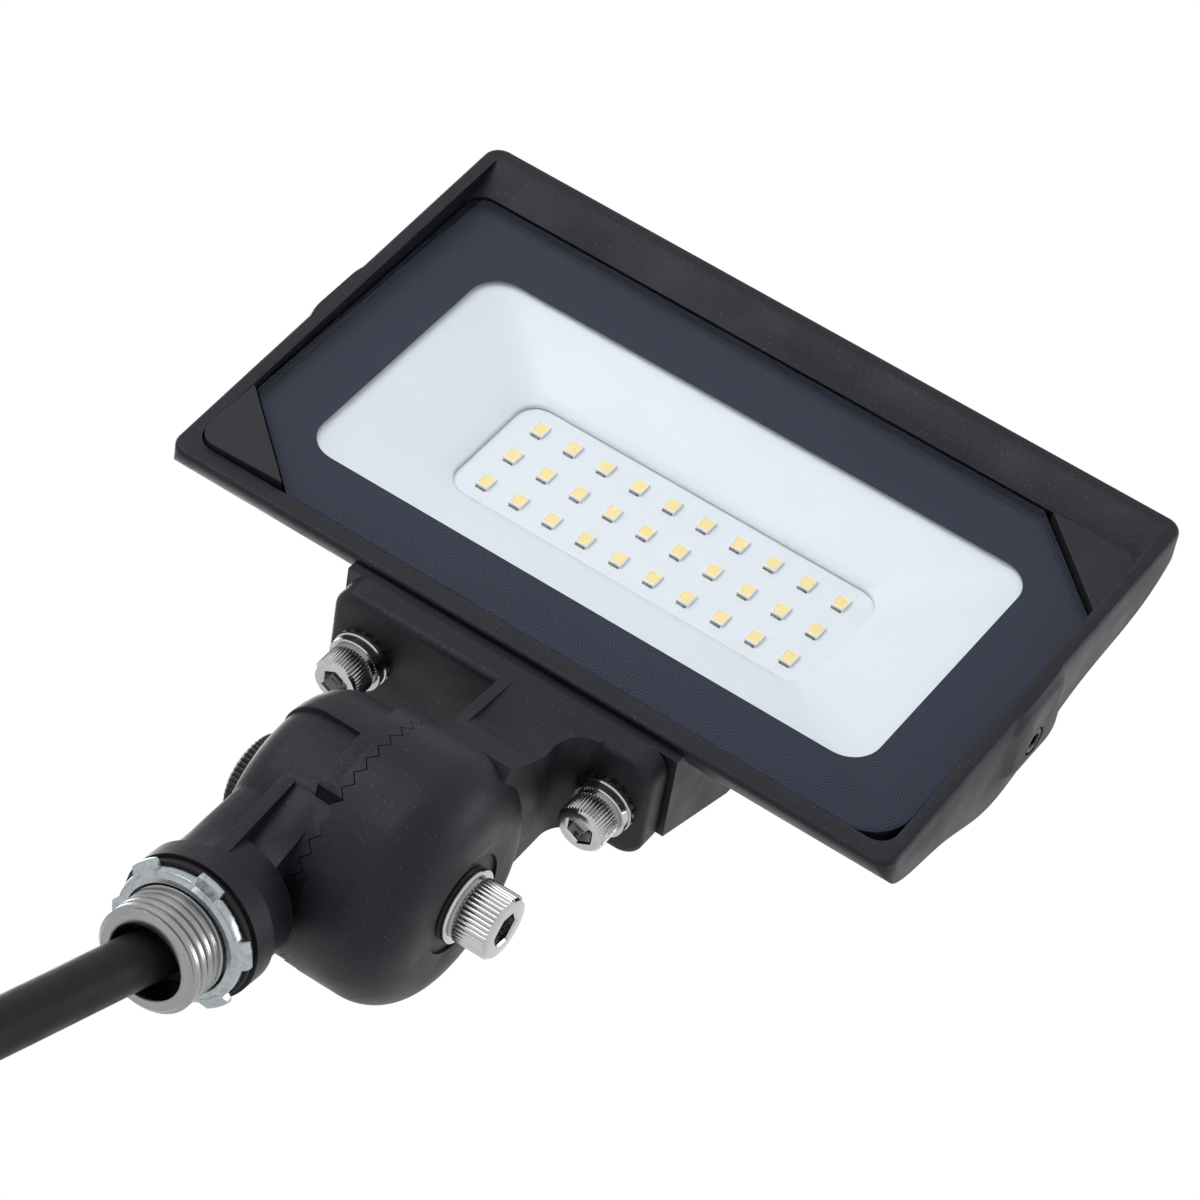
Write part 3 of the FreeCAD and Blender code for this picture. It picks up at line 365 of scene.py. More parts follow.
def dress(mesh, name, body, finish, replaces=(), sharp_deg=35.0, recalculate=True):
    work = bmesh.new()
    work.from_mesh(mesh)
    bmesh.ops.remove_doubles(work, verts=work.verts, dist=1e-7)
    bmesh.ops.dissolve_degenerate(work, edges=work.edges, dist=1e-8)
    if recalculate:
        bmesh.ops.recalc_face_normals(work, faces=work.faces)
    work.to_mesh(mesh)
    work.free()
    mesh.polygons.foreach_set("use_smooth", np.ones(len(mesh.polygons), bool))
    mesh.set_sharp_from_angle(angle=math.radians(sharp_deg))
    mesh.materials.clear()
    mesh.materials.append(finishes[finish])
    made = bpy.data.objects.new(name, mesh)
    bpy.context.scene.collection.objects.link(made)
    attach(made, body)
    if replaces:
        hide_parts(*replaces)
    print(name, "faces", len(mesh.polygons), "on", body)
    return made


print("a tube of 4 rows and 12 columns has", len(grid_faces(4, 12)), "faces")

# %% [markdown]
# ## The lamp's own frame
# The head is easiest to describe with the lens facing us: x to the right, y into the lamp, z up, and
# the middle of the glass at zero. One function carries such points to their place on the tilt axis.

# %% The lamp's own frame
TOOTH_X = 9.2
PIVOT_Z = 45.65
PIVOT_BACK = 13.2
PIVOT_DROP = 96.0
TILT = math.radians(10.2)


def from_lamp(points):
    """Moves lamp points to the tilt axis and turns them about it by the tilt."""
    x, y, z = np.moveaxis(np.asarray(points, float), -1, 0)
    y = y - PIVOT_BACK
    z = z + PIVOT_DROP
    turned_y = y * math.cos(TILT) - z * math.sin(TILT)
    turned_z = y * math.sin(TILT) + z * math.cos(TILT) + PIVOT_Z
    return np.stack((x + TOOTH_X, turned_y, turned_z), -1)


def along_axis(points, origin, axis, side):
    """Carries points drawn about +Z to an origin, with +Z along an axis and +X along a side."""
    axis = np.asarray(axis, float)
    side = np.asarray(side, float)
    return np.asarray(origin) + points @ np.stack((side, np.cross(axis, side), axis))


print("middle of the glass in mm", from_lamp((0, 0, 0)).round(2))

# %% [markdown]
# ## Castings
# Housing, arm and base already have their shape in the solids. Their meshes are loose triangles, so a
# copy is merged, flat neighbours are joined into one face, and a narrow bevel rounds the corners the
# way paint and casting do. Without it the edges would not catch any light.

# %% Castings
BEVEL_MM = 0.45


def casting(node, body, name, finish, bevel_mm=BEVEL_MM):
    """Copy of a solid with merged flat faces and beveled corners."""
    mesh = nodes[node].data.copy()
    mesh.name = name
    work = bmesh.new()
    work.from_mesh(mesh)
    bmesh.ops.remove_doubles(work, verts=work.verts, dist=2e-6)
    bmesh.ops.dissolve_limit(work, angle_limit=math.radians(0.6), verts=work.verts, edges=work.edges)
    work.to_mesh(mesh)
    work.free()
    made = dress(mesh, name, body, finish, (node,), 40.0, recalculate=False)
    bevel = made.modifiers.new("rounded_corners", "BEVEL")
    bevel.width = bevel_mm * MM
    bevel.segments = 2
    bevel.limit_method = "ANGLE"
    bevel.angle_limit = math.radians(38.0)
    bevel.harden_normals = True
    return made


casting("housing", "head", "housing_casting", "powder_coat")
casting("knuckle_arm", "head", "arm_casting", "powder_coat")
casting("knuckle_base", "base", "base_casting", "powder_coat")
casting("corner_block_left", "head", "left_corner_block", "block_black", 0.3)
casting("corner_block_right", "head", "right_corner_block", "block_black", 0.3)

# %% [markdown]
# ## Lens and its print
# The pane is flat glass with two cut corners. Its outline is star-shaped seen from its middle, so it
# can be told as a reach for each angle: where a ray from the middle meets the edge. The dark border is
# printed on the back, from a window with round corners to the edge and up the edge's ground side, and
# is a thin skin just inside the glass; its colour also carries painted sheen. Lamps have to light the
# tray behind the pane, so the pane throws no shadow.

# %% Lens and its print
GLASS_HALF = (77.0, 46.0)
GLASS_CUT = (21.1, 19.0)
GLASS_T = 4.0
GLASS_R_TOP = 4.0
GLASS_R_LOW = 9.0
WINDOW_HALF = (63.0, 31.2)
WINDOW_R = 6.5
ARC_STEPS = 10


def corner_arc(middle, r, start):
    """Points of a quarter circle about a middle, from a start angle on."""
    a = start + np.linspace(0, math.pi / 2, ARC_STEPS)
    return np.column_stack((middle[0] + r * np.cos(a), middle[1] + r * np.sin(a)))


def rounded_outline(half_x, half_z, r):
    """Rectangle with round corners as points (x, z), anticlockwise from the right side."""
    signs = np.array(((1, 1), (-1, 1), (-1, -1), (1, -1)))
    middles = signs * (half_x - r, half_z - r)
    return np.concatenate([corner_arc(m, r, i * math.pi / 2) for i, m in enumerate(middles)])


def lens_outline():
    """Glass edge: two cut corners, a small round corner at the upper left, a large one below right."""
    w, h = GLASS_HALF
    cut_x, cut_z = GLASS_CUT
    upper_left = corner_arc((GLASS_R_TOP - w, h - GLASS_R_TOP), GLASS_R_TOP, math.pi / 2)
    lower_right = corner_arc((w - GLASS_R_LOW, GLASS_R_LOW - h), GLASS_R_LOW, 1.5 * math.pi)
    cut_right = [(w, h - cut_z), (w - cut_x, h)]
    cut_left = [(-w, cut_z - h), (cut_x - w, -h)]
    return np.concatenate((cut_right, upper_left, cut_left, lower_right))


def reach(outline, angles):
    """Distance from the middle to a convex outline along each angle."""
    order = np.argsort(np.arctan2(outline[:, 1], outline[:, 0]))
    start = outline[order]
    step = np.roll(start, -1, 0) - start
    turn = np.arctan2(start[:, 1], start[:, 0])
    index = (np.searchsorted(turn, angles, "right") - 1) % len(start)
    p, e = start[index], step[index]
    d = np.column_stack((np.cos(angles), np.sin(angles)))
    return (p[:, 0] * e[:, 1] - p[:, 1] * e[:, 0]) / (d[:, 0] * e[:, 1] - d[:, 1] * e[:, 0])


glass_edge = lens_outline()
window_edge = rounded_outline(*WINDOW_HALF, WINDOW_R)
angles = np.sort(np.concatenate([np.arctan2(o[:, 1], o[:, 0]) for o in (glass_edge, window_edge)]))
angles = angles[np.concatenate(([True], np.diff(angles) > 1e-5))]


def ring_rows(reaches, depths):
    """Rows of lamp points at the given reaches along the angles and at the given depths."""
    reaches = np.stack(reaches)
    depths = np.broadcast_to(np.asarray(depths)[:, None], reaches.shape)
    return np.stack((reaches * np.cos(angles), depths, reaches * np.sin(angles)), -1)


EDGE_BREAK = 0.35
edge_reach = reach(glass_edge, angles)
to_middle = edge_reach * 0
to_break = edge_reach - EDGE_BREAK
pane_reaches = [to_middle, to_break, edge_reach, edge_reach, to_break, to_middle]
pane_depths = [0, 0, EDGE_BREAK, GLASS_T - EDGE_BREAK, GLASS_T, GLASS_T]
pane_points, pane_quads = as_grids(from_lamp(ring_rows(pane_reaches, pane_depths)))
pane = piece("lens_pane", pane_points, pane_quads, "head", "lens", "lens", ("lens_glass",))
pane.visible_shadow = False

PRINT_FRONT = GLASS_T - 0.08
PRINT_BACK = GLASS_T - 0.03
PRINT_EASE = 0.3
PRINT_LIP = 0.5
window_reach = reach(window_edge, angles)
print_in = edge_reach - 0.12
print_out = edge_reach - 0.06
print_rows = ring_rows(
    [
        window_reach, print_in - PRINT_EASE, print_in, print_in,
        print_out, print_out, print_out - PRINT_EASE, window_reach,
    ],
    [
        PRINT_FRONT, PRINT_FRONT, PRINT_FRONT - PRINT_EASE, PRINT_LIP,
        PRINT_LIP, PRINT_BACK - PRINT_EASE, PRINT_BACK, PRINT_BACK,
    ],
)
print_points, print_quads = as_grids(from_lamp(print_rows), closed_rows=True)
# The print's colour is dark ink plus painted sheen of the glass.
piece("lens_border_print", print_points, print_quads, "head", "lens", "lens_print_and_sheen")

# %% [markdown]
# ## Reflector tray
# The white tray is a rounded rectangle that shrinks as it goes back: a row of the surface is one such
# outline with its own half width, half height, corner and depth. The list of rows is the tray's cross
# section, out over the rim, down the sloping wall, round the lip at the opening and back underneath.

# %% Reflector tray
TRAY_HALF = np.array((64.4, 32.6))
OPENING_HALF = np.array((40.985, 14.82))
TRAY_FRONT = 4.3
TRAY_WALL = 1.2
TRAY_BACK = 12.8
OPENING_R = 5.0
TRAY_R = 6.8
TRAY_RIM = 3.4
SLOPE_ROWS = 8


def outline_rows(sections):
    """Rows of lamp points, each a rounded rectangle (half x, half z, corner, depth)."""
    rows = []
    for half_x, half_z, r, depth in sections:
        flat = rounded_outline(half_x, half_z, r)
        rows.append(np.column_stack((flat[:, 0], np.full(len(flat), depth), flat[:, 1])))
    return np.stack(rows)


def tray_section(share, outset, depth):
    """Section between the opening (share 0) and the tray's mouth (share 1), moved out by an outset."""
    half = OPENING_HALF + share * (TRAY_HALF - OPENING_HALF) + outset
    return (*half, OPENING_R + share * (TRAY_R - OPENING_R) + max(outset, 0), depth)


slope_depth = np.linspace(TRAY_FRONT + 0.3, TRAY_BACK - 0.9, SLOPE_ROWS)
slope_share = 0.02 + 0.97 * np.linspace(1, 0, SLOPE_ROWS) ** 1.06
tray_sections = [tray_section(1, TRAY_RIM, TRAY_FRONT + TRAY_WALL), tray_section(1, TRAY_RIM, TRAY_FRONT)]
tray_sections += [tray_section(1, 0.5, TRAY_FRONT)]
tray_sections += [tray_section(s, 0.0, d) for s, d in zip(slope_share, slope_depth)]
tray_sections += [tray_section(0, 0.25, TRAY_BACK - 0.72), tray_section(0, 0.05, TRAY_BACK - 0.5)]
tray_sections += [tray_section(0, 0.0, TRAY_BACK), tray_section(0, TRAY_WALL, TRAY_BACK)]
tray_sections += [tray_section(1, TRAY_WALL, TRAY_FRONT + TRAY_WALL)]
tray_points, tray_quads = as_grids(from_lamp(outline_rows(tray_sections)), closed_rows=True)
piece("reflector_tray", tray_points, tray_quads, "head", "white_tray", "white_tray", ("reflector",), 50.0)

# %% [markdown]
# ## Light sources
# Thirty small packages sit on the board, ten by three. Each has a white case with a sunk window, a
# yellow phosphor pad in it and a strip of solder at both ends, coloured dark as painted shade under the
# case. One package is drawn once and copied to all places by adding an array of centres, so no loop runs over
# them.

# %% Light sources
LED_COLUMNS = 10
LED_ROWS = 3
LED_PITCH = (7.73, 9.22)
LED_HALF = (1.4, 1.75)
LED_CUT = 0.1
LED_T = 0.7
BOARD_FRONT = 13.1
STRIP_OUT = 1.9
column_x = (np.arange(LED_COLUMNS) - (LED_COLUMNS - 1) / 2) * LED_PITCH[0]
row_z = (np.arange(LED_ROWS) - (LED_ROWS - 1) / 2) * LED_PITCH[1]
led_x, led_z = np.meshgrid(column_x, row_z)
led_centres = np.stack((led_x, np.zeros_like(led_x), led_z), -1).reshape(-1, 1, 1, 3)


def little_outline(half_x, half_z, cut):
    """Eight-cornered rectangle (x, z) with small cut corners."""
    w, h, c = half_x, half_z, cut
    return np.array((
        (w, c - h), (w, h - c), (w - c, h), (c - w, h),
        (-w, h - c), (-w, c - h), (c - w, -h), (w - c, -h),
    ))


def little_rows(sections):
    """Rows of lamp points, each an eight-cornered rectangle (half x, half z, cut, depth)."""
    flat = np.stack([little_outline(*s[:3]) for s in sections])
    depth = np.array([s[3] for s in sections])[:, None] + np.zeros(flat.shape[:2])
    return np.stack((flat[..., 0], depth, flat[..., 1]), -1)


led_front = BOARD_FRONT - LED_T
sunk_front = led_front + 0.2
case_rows = little_rows([
    (0, 0, 0, BOARD_FRONT),
    (*LED_HALF, LED_CUT, BOARD_FRONT),
    (*LED_HALF, LED_CUT, led_front + 0.1),
    (1.32, 1.67, LED_CUT, led_front),
    (1.2, 1.45, 0.3, led_front),
    (1.08, 1.3, 0.3, sunk_front),
    (0, 0, 0, sunk_front),
])
case_points, case_quads = as_grids(from_lamp(case_rows + led_centres))
piece("light_source_cases", case_points, case_quads, "head", "led_yellow", "case_white", ("led_packages",))
pad_rows = little_rows([
    (1.13, 1.36, 0.3, led_front + 0.12),
    (1.13, 1.36, 0.3, led_front + 0.07),
    (0.6, 0.75, 0.2, led_front + 0.03),
    (0, 0, 0, led_front + 0.02),
])
pad_points, pad_quads = as_grids(from_lamp(pad_rows + led_centres))
piece("light_source_phosphor", pad_points, pad_quads, "head", "led_yellow", "phosphor")
strip_front = BOARD_FRONT - 0.2
strip_rows = little_rows([
    (1.1, 0.22, 0.05, BOARD_FRONT),
    (1.1, 0.22, 0.05, BOARD_FRONT - 0.12),
    (0.9, 0.1, 0.05, strip_front),
    (0, 0, 0, strip_front),
])
strip_shift = np.array(((0, 0, -STRIP_OUT), (0, 0, STRIP_OUT))).reshape(2, 1, 1, 1, 3)
strip_points, strip_quads = as_grids(from_lamp(strip_rows + led_centres + strip_shift))
# The strips' dark colour is solder plus painted shade under each case.
piece("solder_strips", strip_points, strip_quads, "head", "bright_steel", "solder")

# %% [markdown]
# ## Screws and washers
# A socket screw is a turned shape whose radius also depends on the angle: straight knurls on the head
# and a six-sided socket in it. The rows of the surface follow its outline from the bottom of the
# socket out over the head and down the shank, and each row has its own rule for the radius. Each
# flange screw has a plain washer on a thin star washer, and a spring washer under its head.

# %% Screws and washers
KNURL_DEPTH = 0.36
SCREW_SHARP_DEG = 32.0


def hex_reach(across, a):
    """Radius of a hexagon with flats the given distance apart, along each angle."""
    return across / 2 / np.cos((a + math.pi / 6) % (math.pi / 3) - math.pi / 6)


def knurl(a, count):
    """Rounded saw between 0 in a groove and 1 on a ridge, count times round."""
    return np.abs(np.sin(a * count / 2)) ** 0.7


def turned(profile, columns):
    """Turned surface about +Z from (radius, height) rows; a radius may be an array over the angles."""
    a = np.arange(columns) * TURN / columns
    radius = np.stack([np.broadcast_to(r, a.shape) for r, _ in profile])
    height = np.stack([np.broadcast_to(z, a.shape) for _, z in profile])
    return np.stack((radius * np.cos(a), radius * np.sin(a), height), -1)


def socket_screw(r, length, head_r, head_h, socket, depth, ridges):
    """Screw about +Z with the seat of its head at zero and its head above."""
    columns = ridges * 6
    a = np.arange(columns) * TURN / columns
    six = hex_reach(socket, a)
    ribbed = head_r - KNURL_DEPTH * (1 - knurl(a, ridges))
    profile = [
        (0, head_h - depth - 0.8), (six * 0.6, head_h - depth), (six, head_h - depth), (six, head_h - 0.35),
        (six + 0.4, head_h), (head_r - 1.0, head_h), (head_r - 0.55, head_h - 0.12),
        (head_r - 0.25, head_h - 0.6), (ribbed, head_h - 0.75), (ribbed, 0.7),
        (head_r - 0.3, 0.5), (head_r - 0.3, 0.0),
        (r, 0.0), (r, 0.5 - length), (r - 0.5, -length), (0, -length),
    ]
    return turned(profile, columns)


def round_washer(r_in, r_out, thickness, ease, columns=72):
    """Washer about +Z from zero up, with its edges eased; its last row meets the first."""
    t = thickness
    profile = [
        (r_in, ease), (r_in + ease, 0), (r_out - ease, 0), (r_out - 0.3 * ease, 0.3 * ease),
        (r_out, ease), (r_out, t - ease), (r_out - 0.3 * ease, t - 0.3 * ease), (r_out - ease, t),
        (r_in + ease, t), (r_in, t - ease),
    ]
    return turned(profile, columns)


LAMP_DOWN = np.array((0, 0, -1.0))
LAMP_SIDE = np.array((1.0, 0, 0))
FLANGE_LOW = -58.7
FLAT_T = 1.6
SPRING_T = 1.8
flange_places = np.array(((-27.4, 13.8, FLANGE_LOW), (27.4, 13.8, FLANGE_LOW)))


def at_flange(points, start):
    """Two copies of a turned shape, one at each flange screw, starting a distance under the flange."""
    seats = flange_places + start * LAMP_DOWN
    return from_lamp(np.stack([along_axis(points, seat, LAMP_DOWN, LAMP_SIDE) for seat in seats]))


flange_screw = socket_screw(r=3.0, length=18.5, head_r=5.0, head_h=6.0, socket=5.0, depth=3.0, ridges=44)
screw_points, screw_quads = as_grids(at_flange(flange_screw, FLAT_T + SPRING_T))
piece(
    "flange_socket_screws", screw_points, screw_quads, "head", "bright_steel", "bright_steel",
    ("flange_screws",), SCREW_SHARP_DEG,
)

STAR_TEETH = 16
STAR_NOTCH = 0.55


def toothed_washer(r_in, r_out, star_t, thickness, columns=320):
    """Plain washer on a thin star washer, whose edge steps in and out round the circle."""
    a = np.arange(columns) * TURN / columns
    star = r_out - STAR_NOTCH + STAR_NOTCH * np.clip(2.5 * np.sin(STAR_TEETH * a) + 0.5, 0, 1)
    profile = [
        (r_in, 0.15), (r_in + 0.15, 0), (star - 0.1, 0), (star, 0.1), (star, star_t - 0.1),
        (r_out - 0.6, star_t), (r_out - 0.2, star_t + 0.05), (r_out, star_t + 0.25),
        (r_out, thickness - 0.25), (r_out - 0.2, thickness),
        (r_in + 0.15, thickness), (r_in, thickness - 0.15),
    ]
    return turned(profile, columns)


flat_points, flat_quads = as_grids(at_flange(toothed_washer(3.3, 6.0, 0.5, FLAT_T), 0), True)
piece(
    "flange_plain_washers", flat_points, flat_quads, "head", "bright_steel", "bright_steel",
    ("flange_flat_washers",),
)

# %% [markdown]
# A spring washer is a square wire bent into one turn and cut through at a slant. It is swept as a
# profile along most of a circle, and the two cut faces are closed by rows that shrink to the middle of
# the wire.

# %% Spring washers
SPLIT_TURN = 0.14
SPLIT_LEAN = 0.12
WIRE_EASE = 0.22
COIL_STEPS = 90


def split_washer(r_in, r_out, thickness):
    """Square wire with eased corners along a turn, cut at a slant so that the split leans with height."""
    e = WIRE_EASE
    section = np.array((
        (r_in + e, 0), (r_out - e, 0), (r_out, e), (r_out, thickness - e),
        (r_out - e, thickness), (r_in + e, thickness), (r_in, thickness - e), (r_in, e),
    ))
    middle = section.mean(0)
    share = np.concatenate(([0], np.linspace(0, 1, COIL_STEPS), [1]))
    shrink = np.concatenate(([0], np.ones(COIL_STEPS), [0]))
    ring = middle + (section - middle) * shrink[:, None, None]
    lean = SPLIT_LEAN * (ring[..., 1] / thickness - 0.5)
    a = -math.pi / 2 + SPLIT_TURN / 2 + share[:, None] * (TURN - SPLIT_TURN) + lean
    return np.stack((ring[..., 0] * np.cos(a), ring[..., 0] * np.sin(a), ring[..., 1]), -1)


spring_points, spring_quads = as_grids(at_flange(split_washer(3.3, 5.8, SPRING_T), FLAT_T))
piece(
    "flange_split_washers", spring_points, spring_quads, "head", "bright_steel", "bright_steel",
    ("flange_spring_washers",),
)

# %% [markdown]
# ## Tilt axis hardware
# The pivot screw goes through both halves of the knuckle and ends in a round black cap nut with a
# knurled rim. Both are drawn about +Z and laid along the tilt axis.

# %% Tilt axis hardware
X_WAY = np.array((1.0, 0, 0))
Y_WAY = np.array((0, 1.0, 0))
WASHER_X = 30.15
WASHER_T = 1.8
HEAD_X = WASHER_X + WASHER_T
pivot = np.array((0, 0, PIVOT_Z))
pivot_shape = socket_screw(r=4.0, length=47.3, head_r=6.5, head_h=8.0, socket=6.0, depth=4.0, ridges=42)
pivot_screw = along_axis(pivot_shape, pivot + HEAD_X * X_WAY, X_WAY, Y_WAY)
piece(
    "pivot_socket_screw", *as_grids(pivot_screw), "screw", "bright_steel", "bright_steel",
    ("pivot_screw",), SCREW_SHARP_DEG,
)
pivot_ring = along_axis(round_washer(4.1, 7.6, WASHER_T, 0.25), pivot + WASHER_X * X_WAY, X_WAY, Y_WAY)
piece(
    "pivot_plain_washer", *as_grids(pivot_ring, True), "screw", "bright_steel", "bright_steel",
    ("pivot_washer",),
)

CAP_SEAT_X = -12.0
CAP_H = 5.2
CAP_R = 8.6
CAP_HOLE_R = 4.2
CAP_RIDGES = 48
CAP_KNURL = 0.3
cap_floor = CAP_H - 1.5
cap_angle = np.arange(CAP_RIDGES * 6) * TURN / (CAP_RIDGES * 6)
cap_rim = CAP_R - CAP_KNURL + CAP_KNURL * knurl(cap_angle, CAP_RIDGES)
cap_profile = [
    (0, cap_floor), (CAP_HOLE_R, cap_floor), (CAP_HOLE_R, 0), (CAP_R - 0.4, 0),
    (cap_rim, 0.4), (cap_rim, CAP_H - 1.0), (CAP_R - 0.5, CAP_H - 0.6),
    (CAP_R - 1.2, CAP_H - 0.1), (CAP_R - 2.2, CAP_H), (3.0, CAP_H), (0, CAP_H),
]
cap_shape = turned(cap_profile, len(cap_angle))
cap_points = along_axis(cap_shape, pivot + CAP_SEAT_X * X_WAY, -X_WAY, Y_WAY)
piece(
    "pivot_cap_nut", *as_grids(cap_points), "base", "black_steel", "black_steel",
    ("pivot_nut",), SCREW_SHARP_DEG,
)

# %% [markdown]
# ## Set screws in the side pads
# The threaded holes in the two sides are for a yoke. They are closed with short set screws, which
# show as a dark disc with a six-sided socket.

# %% Set screws
PAD_X = 81.5
PLUG_PLACE = np.array((0, 10.2, 2.6))
PLUG_COLUMNS = 72


def set_screw(r, length, socket):
    """Headless screw about +Z whose socketed face lies at zero."""
    a = np.arange(PLUG_COLUMNS) * TURN / PLUG_COLUMNS
    six = hex_reach(socket, a)
    profile = [
        (0, -2.6), (six, -2.4), (six, -0.3), (six + 0.3, 0), (r - 0.5, 0), (r, -0.5),
        (r, 0.4 - length), (r - 0.4, -length), (0, -length),
    ]
    return turned(profile, PLUG_COLUMNS)


def at_pad(points, sign):
    """Turned shape in the right side pad (sign 1) or the left one (sign -1), facing outwards."""
    return along_axis(points, PLUG_PLACE + sign * PAD_X * LAMP_SIDE, sign * LAMP_SIDE, Y_WAY)


plug = set_screw(r=3.0, length=5.9, socket=3.0)
both_plugs = from_lamp(np.stack([at_pad(plug, sign) for sign in (-1, 1)]))
piece(
    "yoke_hole_plugs", *as_grids(both_plugs), "head", "black_steel", "black_steel",
    ("side_plugs",), SCREW_SHARP_DEG,
)

# %% [markdown]
# ## Threaded nipple
# A thread is a groove that climbs one pitch for each turn. On a grid of angle and height its depth
# only depends on height over pitch minus angle over a full turn, so the whole helix is one formula.
# A chamfer at the free end cuts the crests down, so the groove fades out there.

# %% Threaded nipple
THREAD_R = 10.45
THREAD_PITCH = 25.4 / 14
THREAD_DEPTH = 0.8
GROOVE_SHARE = 0.5
NIPPLE_LOW = -8.9
NIPPLE_TOP = 4.65
BORE_R = 7.4
THREAD_COLUMNS = 180
THREAD_ROWS = 300
CHAMFER_DEPTH = 1.15
CHAMFER_RUN = 0.9


def thread_radius(a, z):
    """Crest radius less a groove of V section; the chamfer at the free end caps it."""
    phase = (z / THREAD_PITCH + a / TURN) % 1.0
    groove = np.clip(1 - np.abs(2 * phase - 1) / GROOVE_SHARE, 0, 1)
    chamfer = THREAD_R - CHAMFER_DEPTH + np.clip((z - NIPPLE_LOW) / CHAMFER_RUN, 0, None)
    return np.minimum(THREAD_R - THREAD_DEPTH * groove, chamfer)


thread_a = np.arange(THREAD_COLUMNS) * TURN / THREAD_COLUMNS
thread_z = np.linspace(NIPPLE_TOP, NIPPLE_LOW, THREAD_ROWS)
thread_rows = [(thread_radius(thread_a, z), z) for z in thread_z]
thread_rows += [
    (BORE_R + 0.6, NIPPLE_LOW), (BORE_R + 0.15, NIPPLE_LOW + 0.15),
    (BORE_R, NIPPLE_LOW + 0.5), (BORE_R, NIPPLE_TOP),
]
nipple_points, nipple_quads = as_grids(turned(thread_rows, THREAD_COLUMNS), True)
piece(
    "nipple_thread", nipple_points, nipple_quads, "base", "bare_metal", "bare_metal",
    ("threaded_nipple",), 60.0,
)

# %% [markdown]
# ## Locknut and sealing ring
# The locknut is pressed from zinc-plated plate: a ring with lugs that are bent back towards the lamp.
# The lugs are a wave round the ring. Where the wave is high, the edge lies further out and the under
# face lifts.

# %% Locknut and sealing ring
LUG_COUNT = 6
LUG_PHASE = math.radians(-16)
LUG_R = 14.6
LUG_HALF = math.radians(10.5)
LUG_SLOPE = math.radians(2.2)
NUT_R = 13.0
NUT_HOLE_R = 10.6
NUT_LOW = 0.05
NUT_TOP = 3.05
DISH = 0.55
LUG_LIFT = 0.75
SEAL_R_IN = 10.75
SEAL_R_OUT = 13.6
SEAL_T = 1.5
SEAL_LOW = 3.1


def lug_wave(a):
    """1 on a lug and 0 between lugs, with short slopes."""
    off = np.abs(((a - LUG_PHASE) * LUG_COUNT / TURN + 0.5) % 1.0 - 0.5) * TURN / LUG_COUNT
    return np.clip((LUG_HALF + LUG_SLOPE - off) / LUG_SLOPE, 0, 1)


def locknut_rows(columns=360):
    """Rows round the plate's cross section: dished under face outwards, edge, then upper face inwards."""
    a = np.arange(columns) * TURN / columns
    wave = lug_wave(a)
    rim = NUT_R + (LUG_R - NUT_R) * wave
    root = NUT_R - 0.5 - 0.3 * wave
    low = NUT_LOW + DISH
    lift = LUG_LIFT * wave
    profile = [
        (NUT_HOLE_R, NUT_LOW + 0.35), (NUT_HOLE_R + 0.35, NUT_LOW), (NUT_HOLE_R + 1.3, NUT_LOW + 0.15 * DISH),
        (root, low), (root + 0.3, low + 0.08 + 0.5 * lift), (rim - 0.35, low + 0.1 + lift),
        (rim - 0.1, low + 0.2 + lift), (rim, low + 0.45 + lift),
        (rim, NUT_TOP - 0.4), (rim - 0.12, NUT_TOP - 0.12), (rim - 0.4, NUT_TOP),
        (NUT_HOLE_R + 0.4, NUT_TOP), (NUT_HOLE_R, NUT_TOP - 0.35),
    ]
    return turned(profile, columns)


piece("zinc_locknut", *as_grids(locknut_rows(), True), "nut", "zinc_steel", "zinc_steel", ("locknut",), 28.0)
seal_ring = round_washer(SEAL_R_IN, SEAL_R_OUT, SEAL_T, 0.3) + np.array((0, 0, SEAL_LOW))
piece("sealing_ring", *as_grids(seal_ring, True), "seal", "soft_black", "soft_black", ("sealing_washer",))

# %% [markdown]
# ## Supply cord
# The lead leaves the rubber bush in the nipple and hangs in one slow curve to its cut-off sleeve, where
# three insulated conductors come out. A smooth cord is a NURBS curve with a round bevel, guided by the
# route's control points. Its order is set after the points are added.

# %% Supply cord
CORD_ROUTE = (
    (1.6, 0, 6), (-5.6, 0, -30), (-13.2, -0.5, -67), (-19.6, -1.6, -105),
    (-23.4, -2.7, -144), (-24.8, -3.4, -184), (-24.4, -3.6, -223.5),
)
CORD_R = 5.0


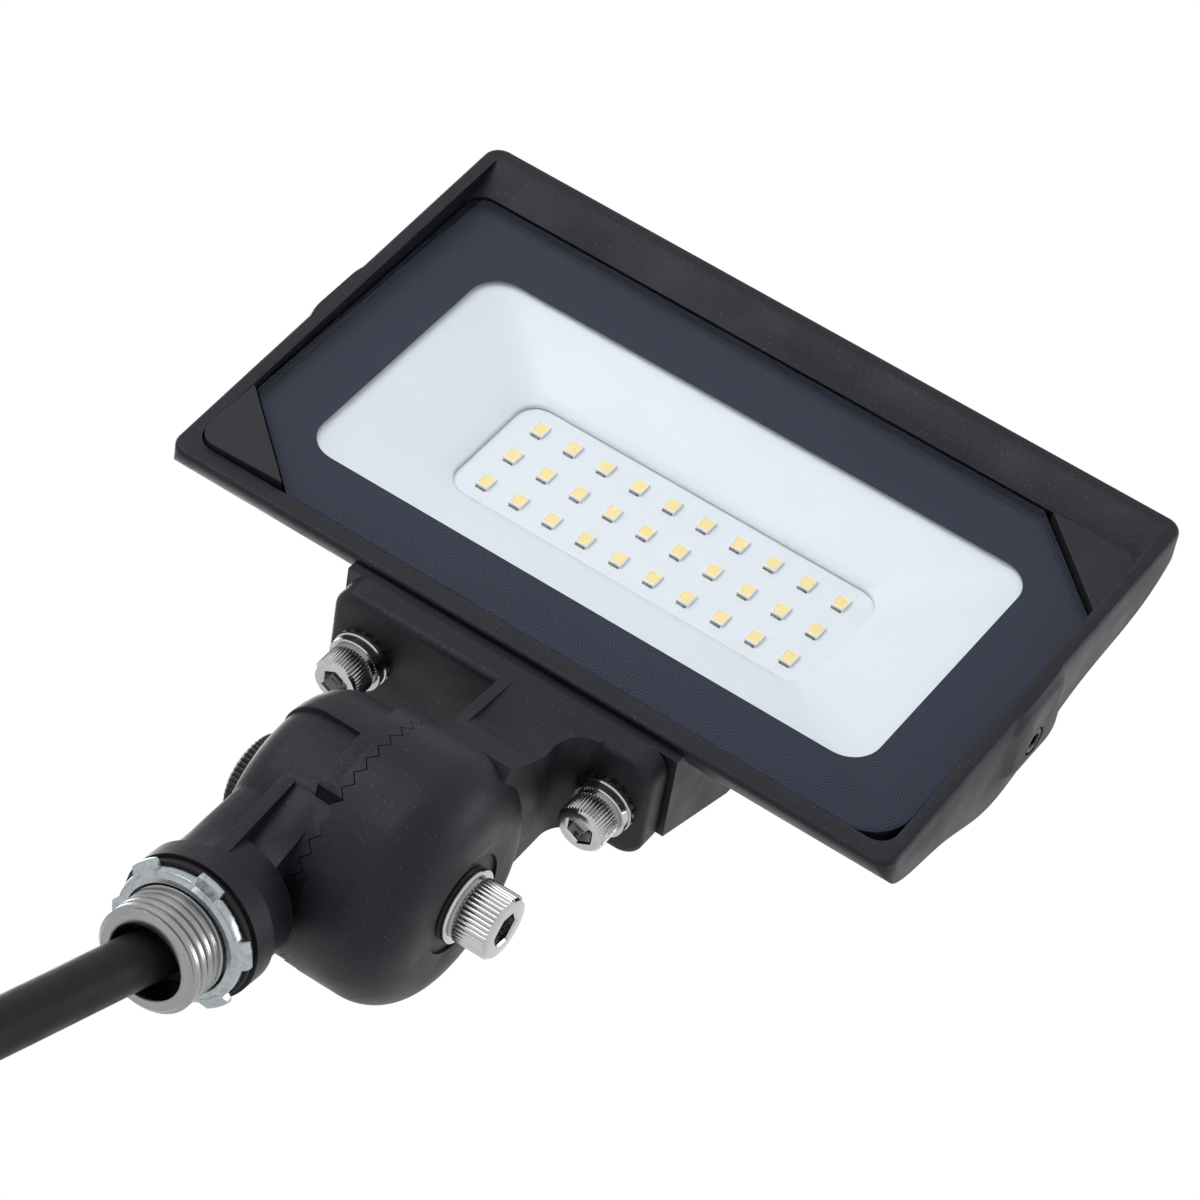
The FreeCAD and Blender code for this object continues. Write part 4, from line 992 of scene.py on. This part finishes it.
def soft_tube(name, route_mm, r_mm, finish):
    """Round tube on a NURBS curve whose control points are the route."""
    curve = bpy.data.curves.new(name, "CURVE")
    curve.dimensions = "3D"
    spline = curve.splines.new("NURBS")
    route = np.asarray(route_mm, float) * MM
    spline.points.add(len(route) - 1)
    spline.points.foreach_set("co", np.column_stack((route, np.ones(len(route)))).ravel())
    spline.order_u = 3
    spline.use_endpoint_u = True
    spline.resolution_u = 16
    curve.bevel_depth = r_mm * MM
    curve.bevel_resolution = 8
    curve.use_fill_caps = True
    curve.materials.append(finishes[finish])
    made = bpy.data.objects.new(name, curve)
    bpy.context.scene.collection.objects.link(made)
    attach(made, "base")
    return made


cord = soft_tube("cord_sleeve", CORD_ROUTE, CORD_R, "cord_sleeve")
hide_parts("supply_cord")

WIRE_R = 1.2
WIRE_OFFSET = 2.4
WIRE_RUN = 19.0
WIRE_SPREAD = 3.4
WIRE_TUCK = 1.5
TIP_R = 0.75
TIP_LEN = 7.0
cord_end = np.array(CORD_ROUTE[-1], float)
along = cord_end - np.array(CORD_ROUTE[-2])
along /= np.linalg.norm(along)
side = np.cross(along, Y_WAY)
side /= np.linalg.norm(side)
other = np.cross(along, side)
for i, colour in enumerate(("black", "white", "green")):
    turn = math.pi / 2 + TURN * i / 3
    out = side * math.cos(turn) + other * math.sin(turn)
    first = cord_end + out * WIRE_OFFSET
    second = first + along * WIRE_RUN
    third = second + along * WIRE_RUN + out * WIRE_SPREAD
    last_way = (third - second) / np.linalg.norm(third - second)
    bare = third - last_way * TIP_LEN
    covered = (first - along * WIRE_TUCK, second, bare)
    stripped = (bare - last_way, bare + last_way * 3, third)
    soft_tube(f"lead_{colour}", covered, WIRE_R, f"lead_{colour}")
    soft_tube(f"lead_tip_{colour}", stripped, TIP_R, "tinned_tip")
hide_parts("lead_wires")

# %% [markdown]
# ## Solids that keep their shape
# Gaskets, the rubber bush, the light board and the small parts on it are right as they are. Each only
# gets its finish.

# %% Solids that keep their shape
kept = {
    "lens_gasket": "soft_black", "flange_gasket": "soft_black", "cable_seal": "soft_black",
    "led_board": "board_white", "driver_components": "chip_black", "board_screws": "bright_steel",
}
for node, finish in kept.items():
    nodes[node].data.materials.clear()
    nodes[node].data.materials.append(finishes[finish])
print("kept solids", sorted(kept))
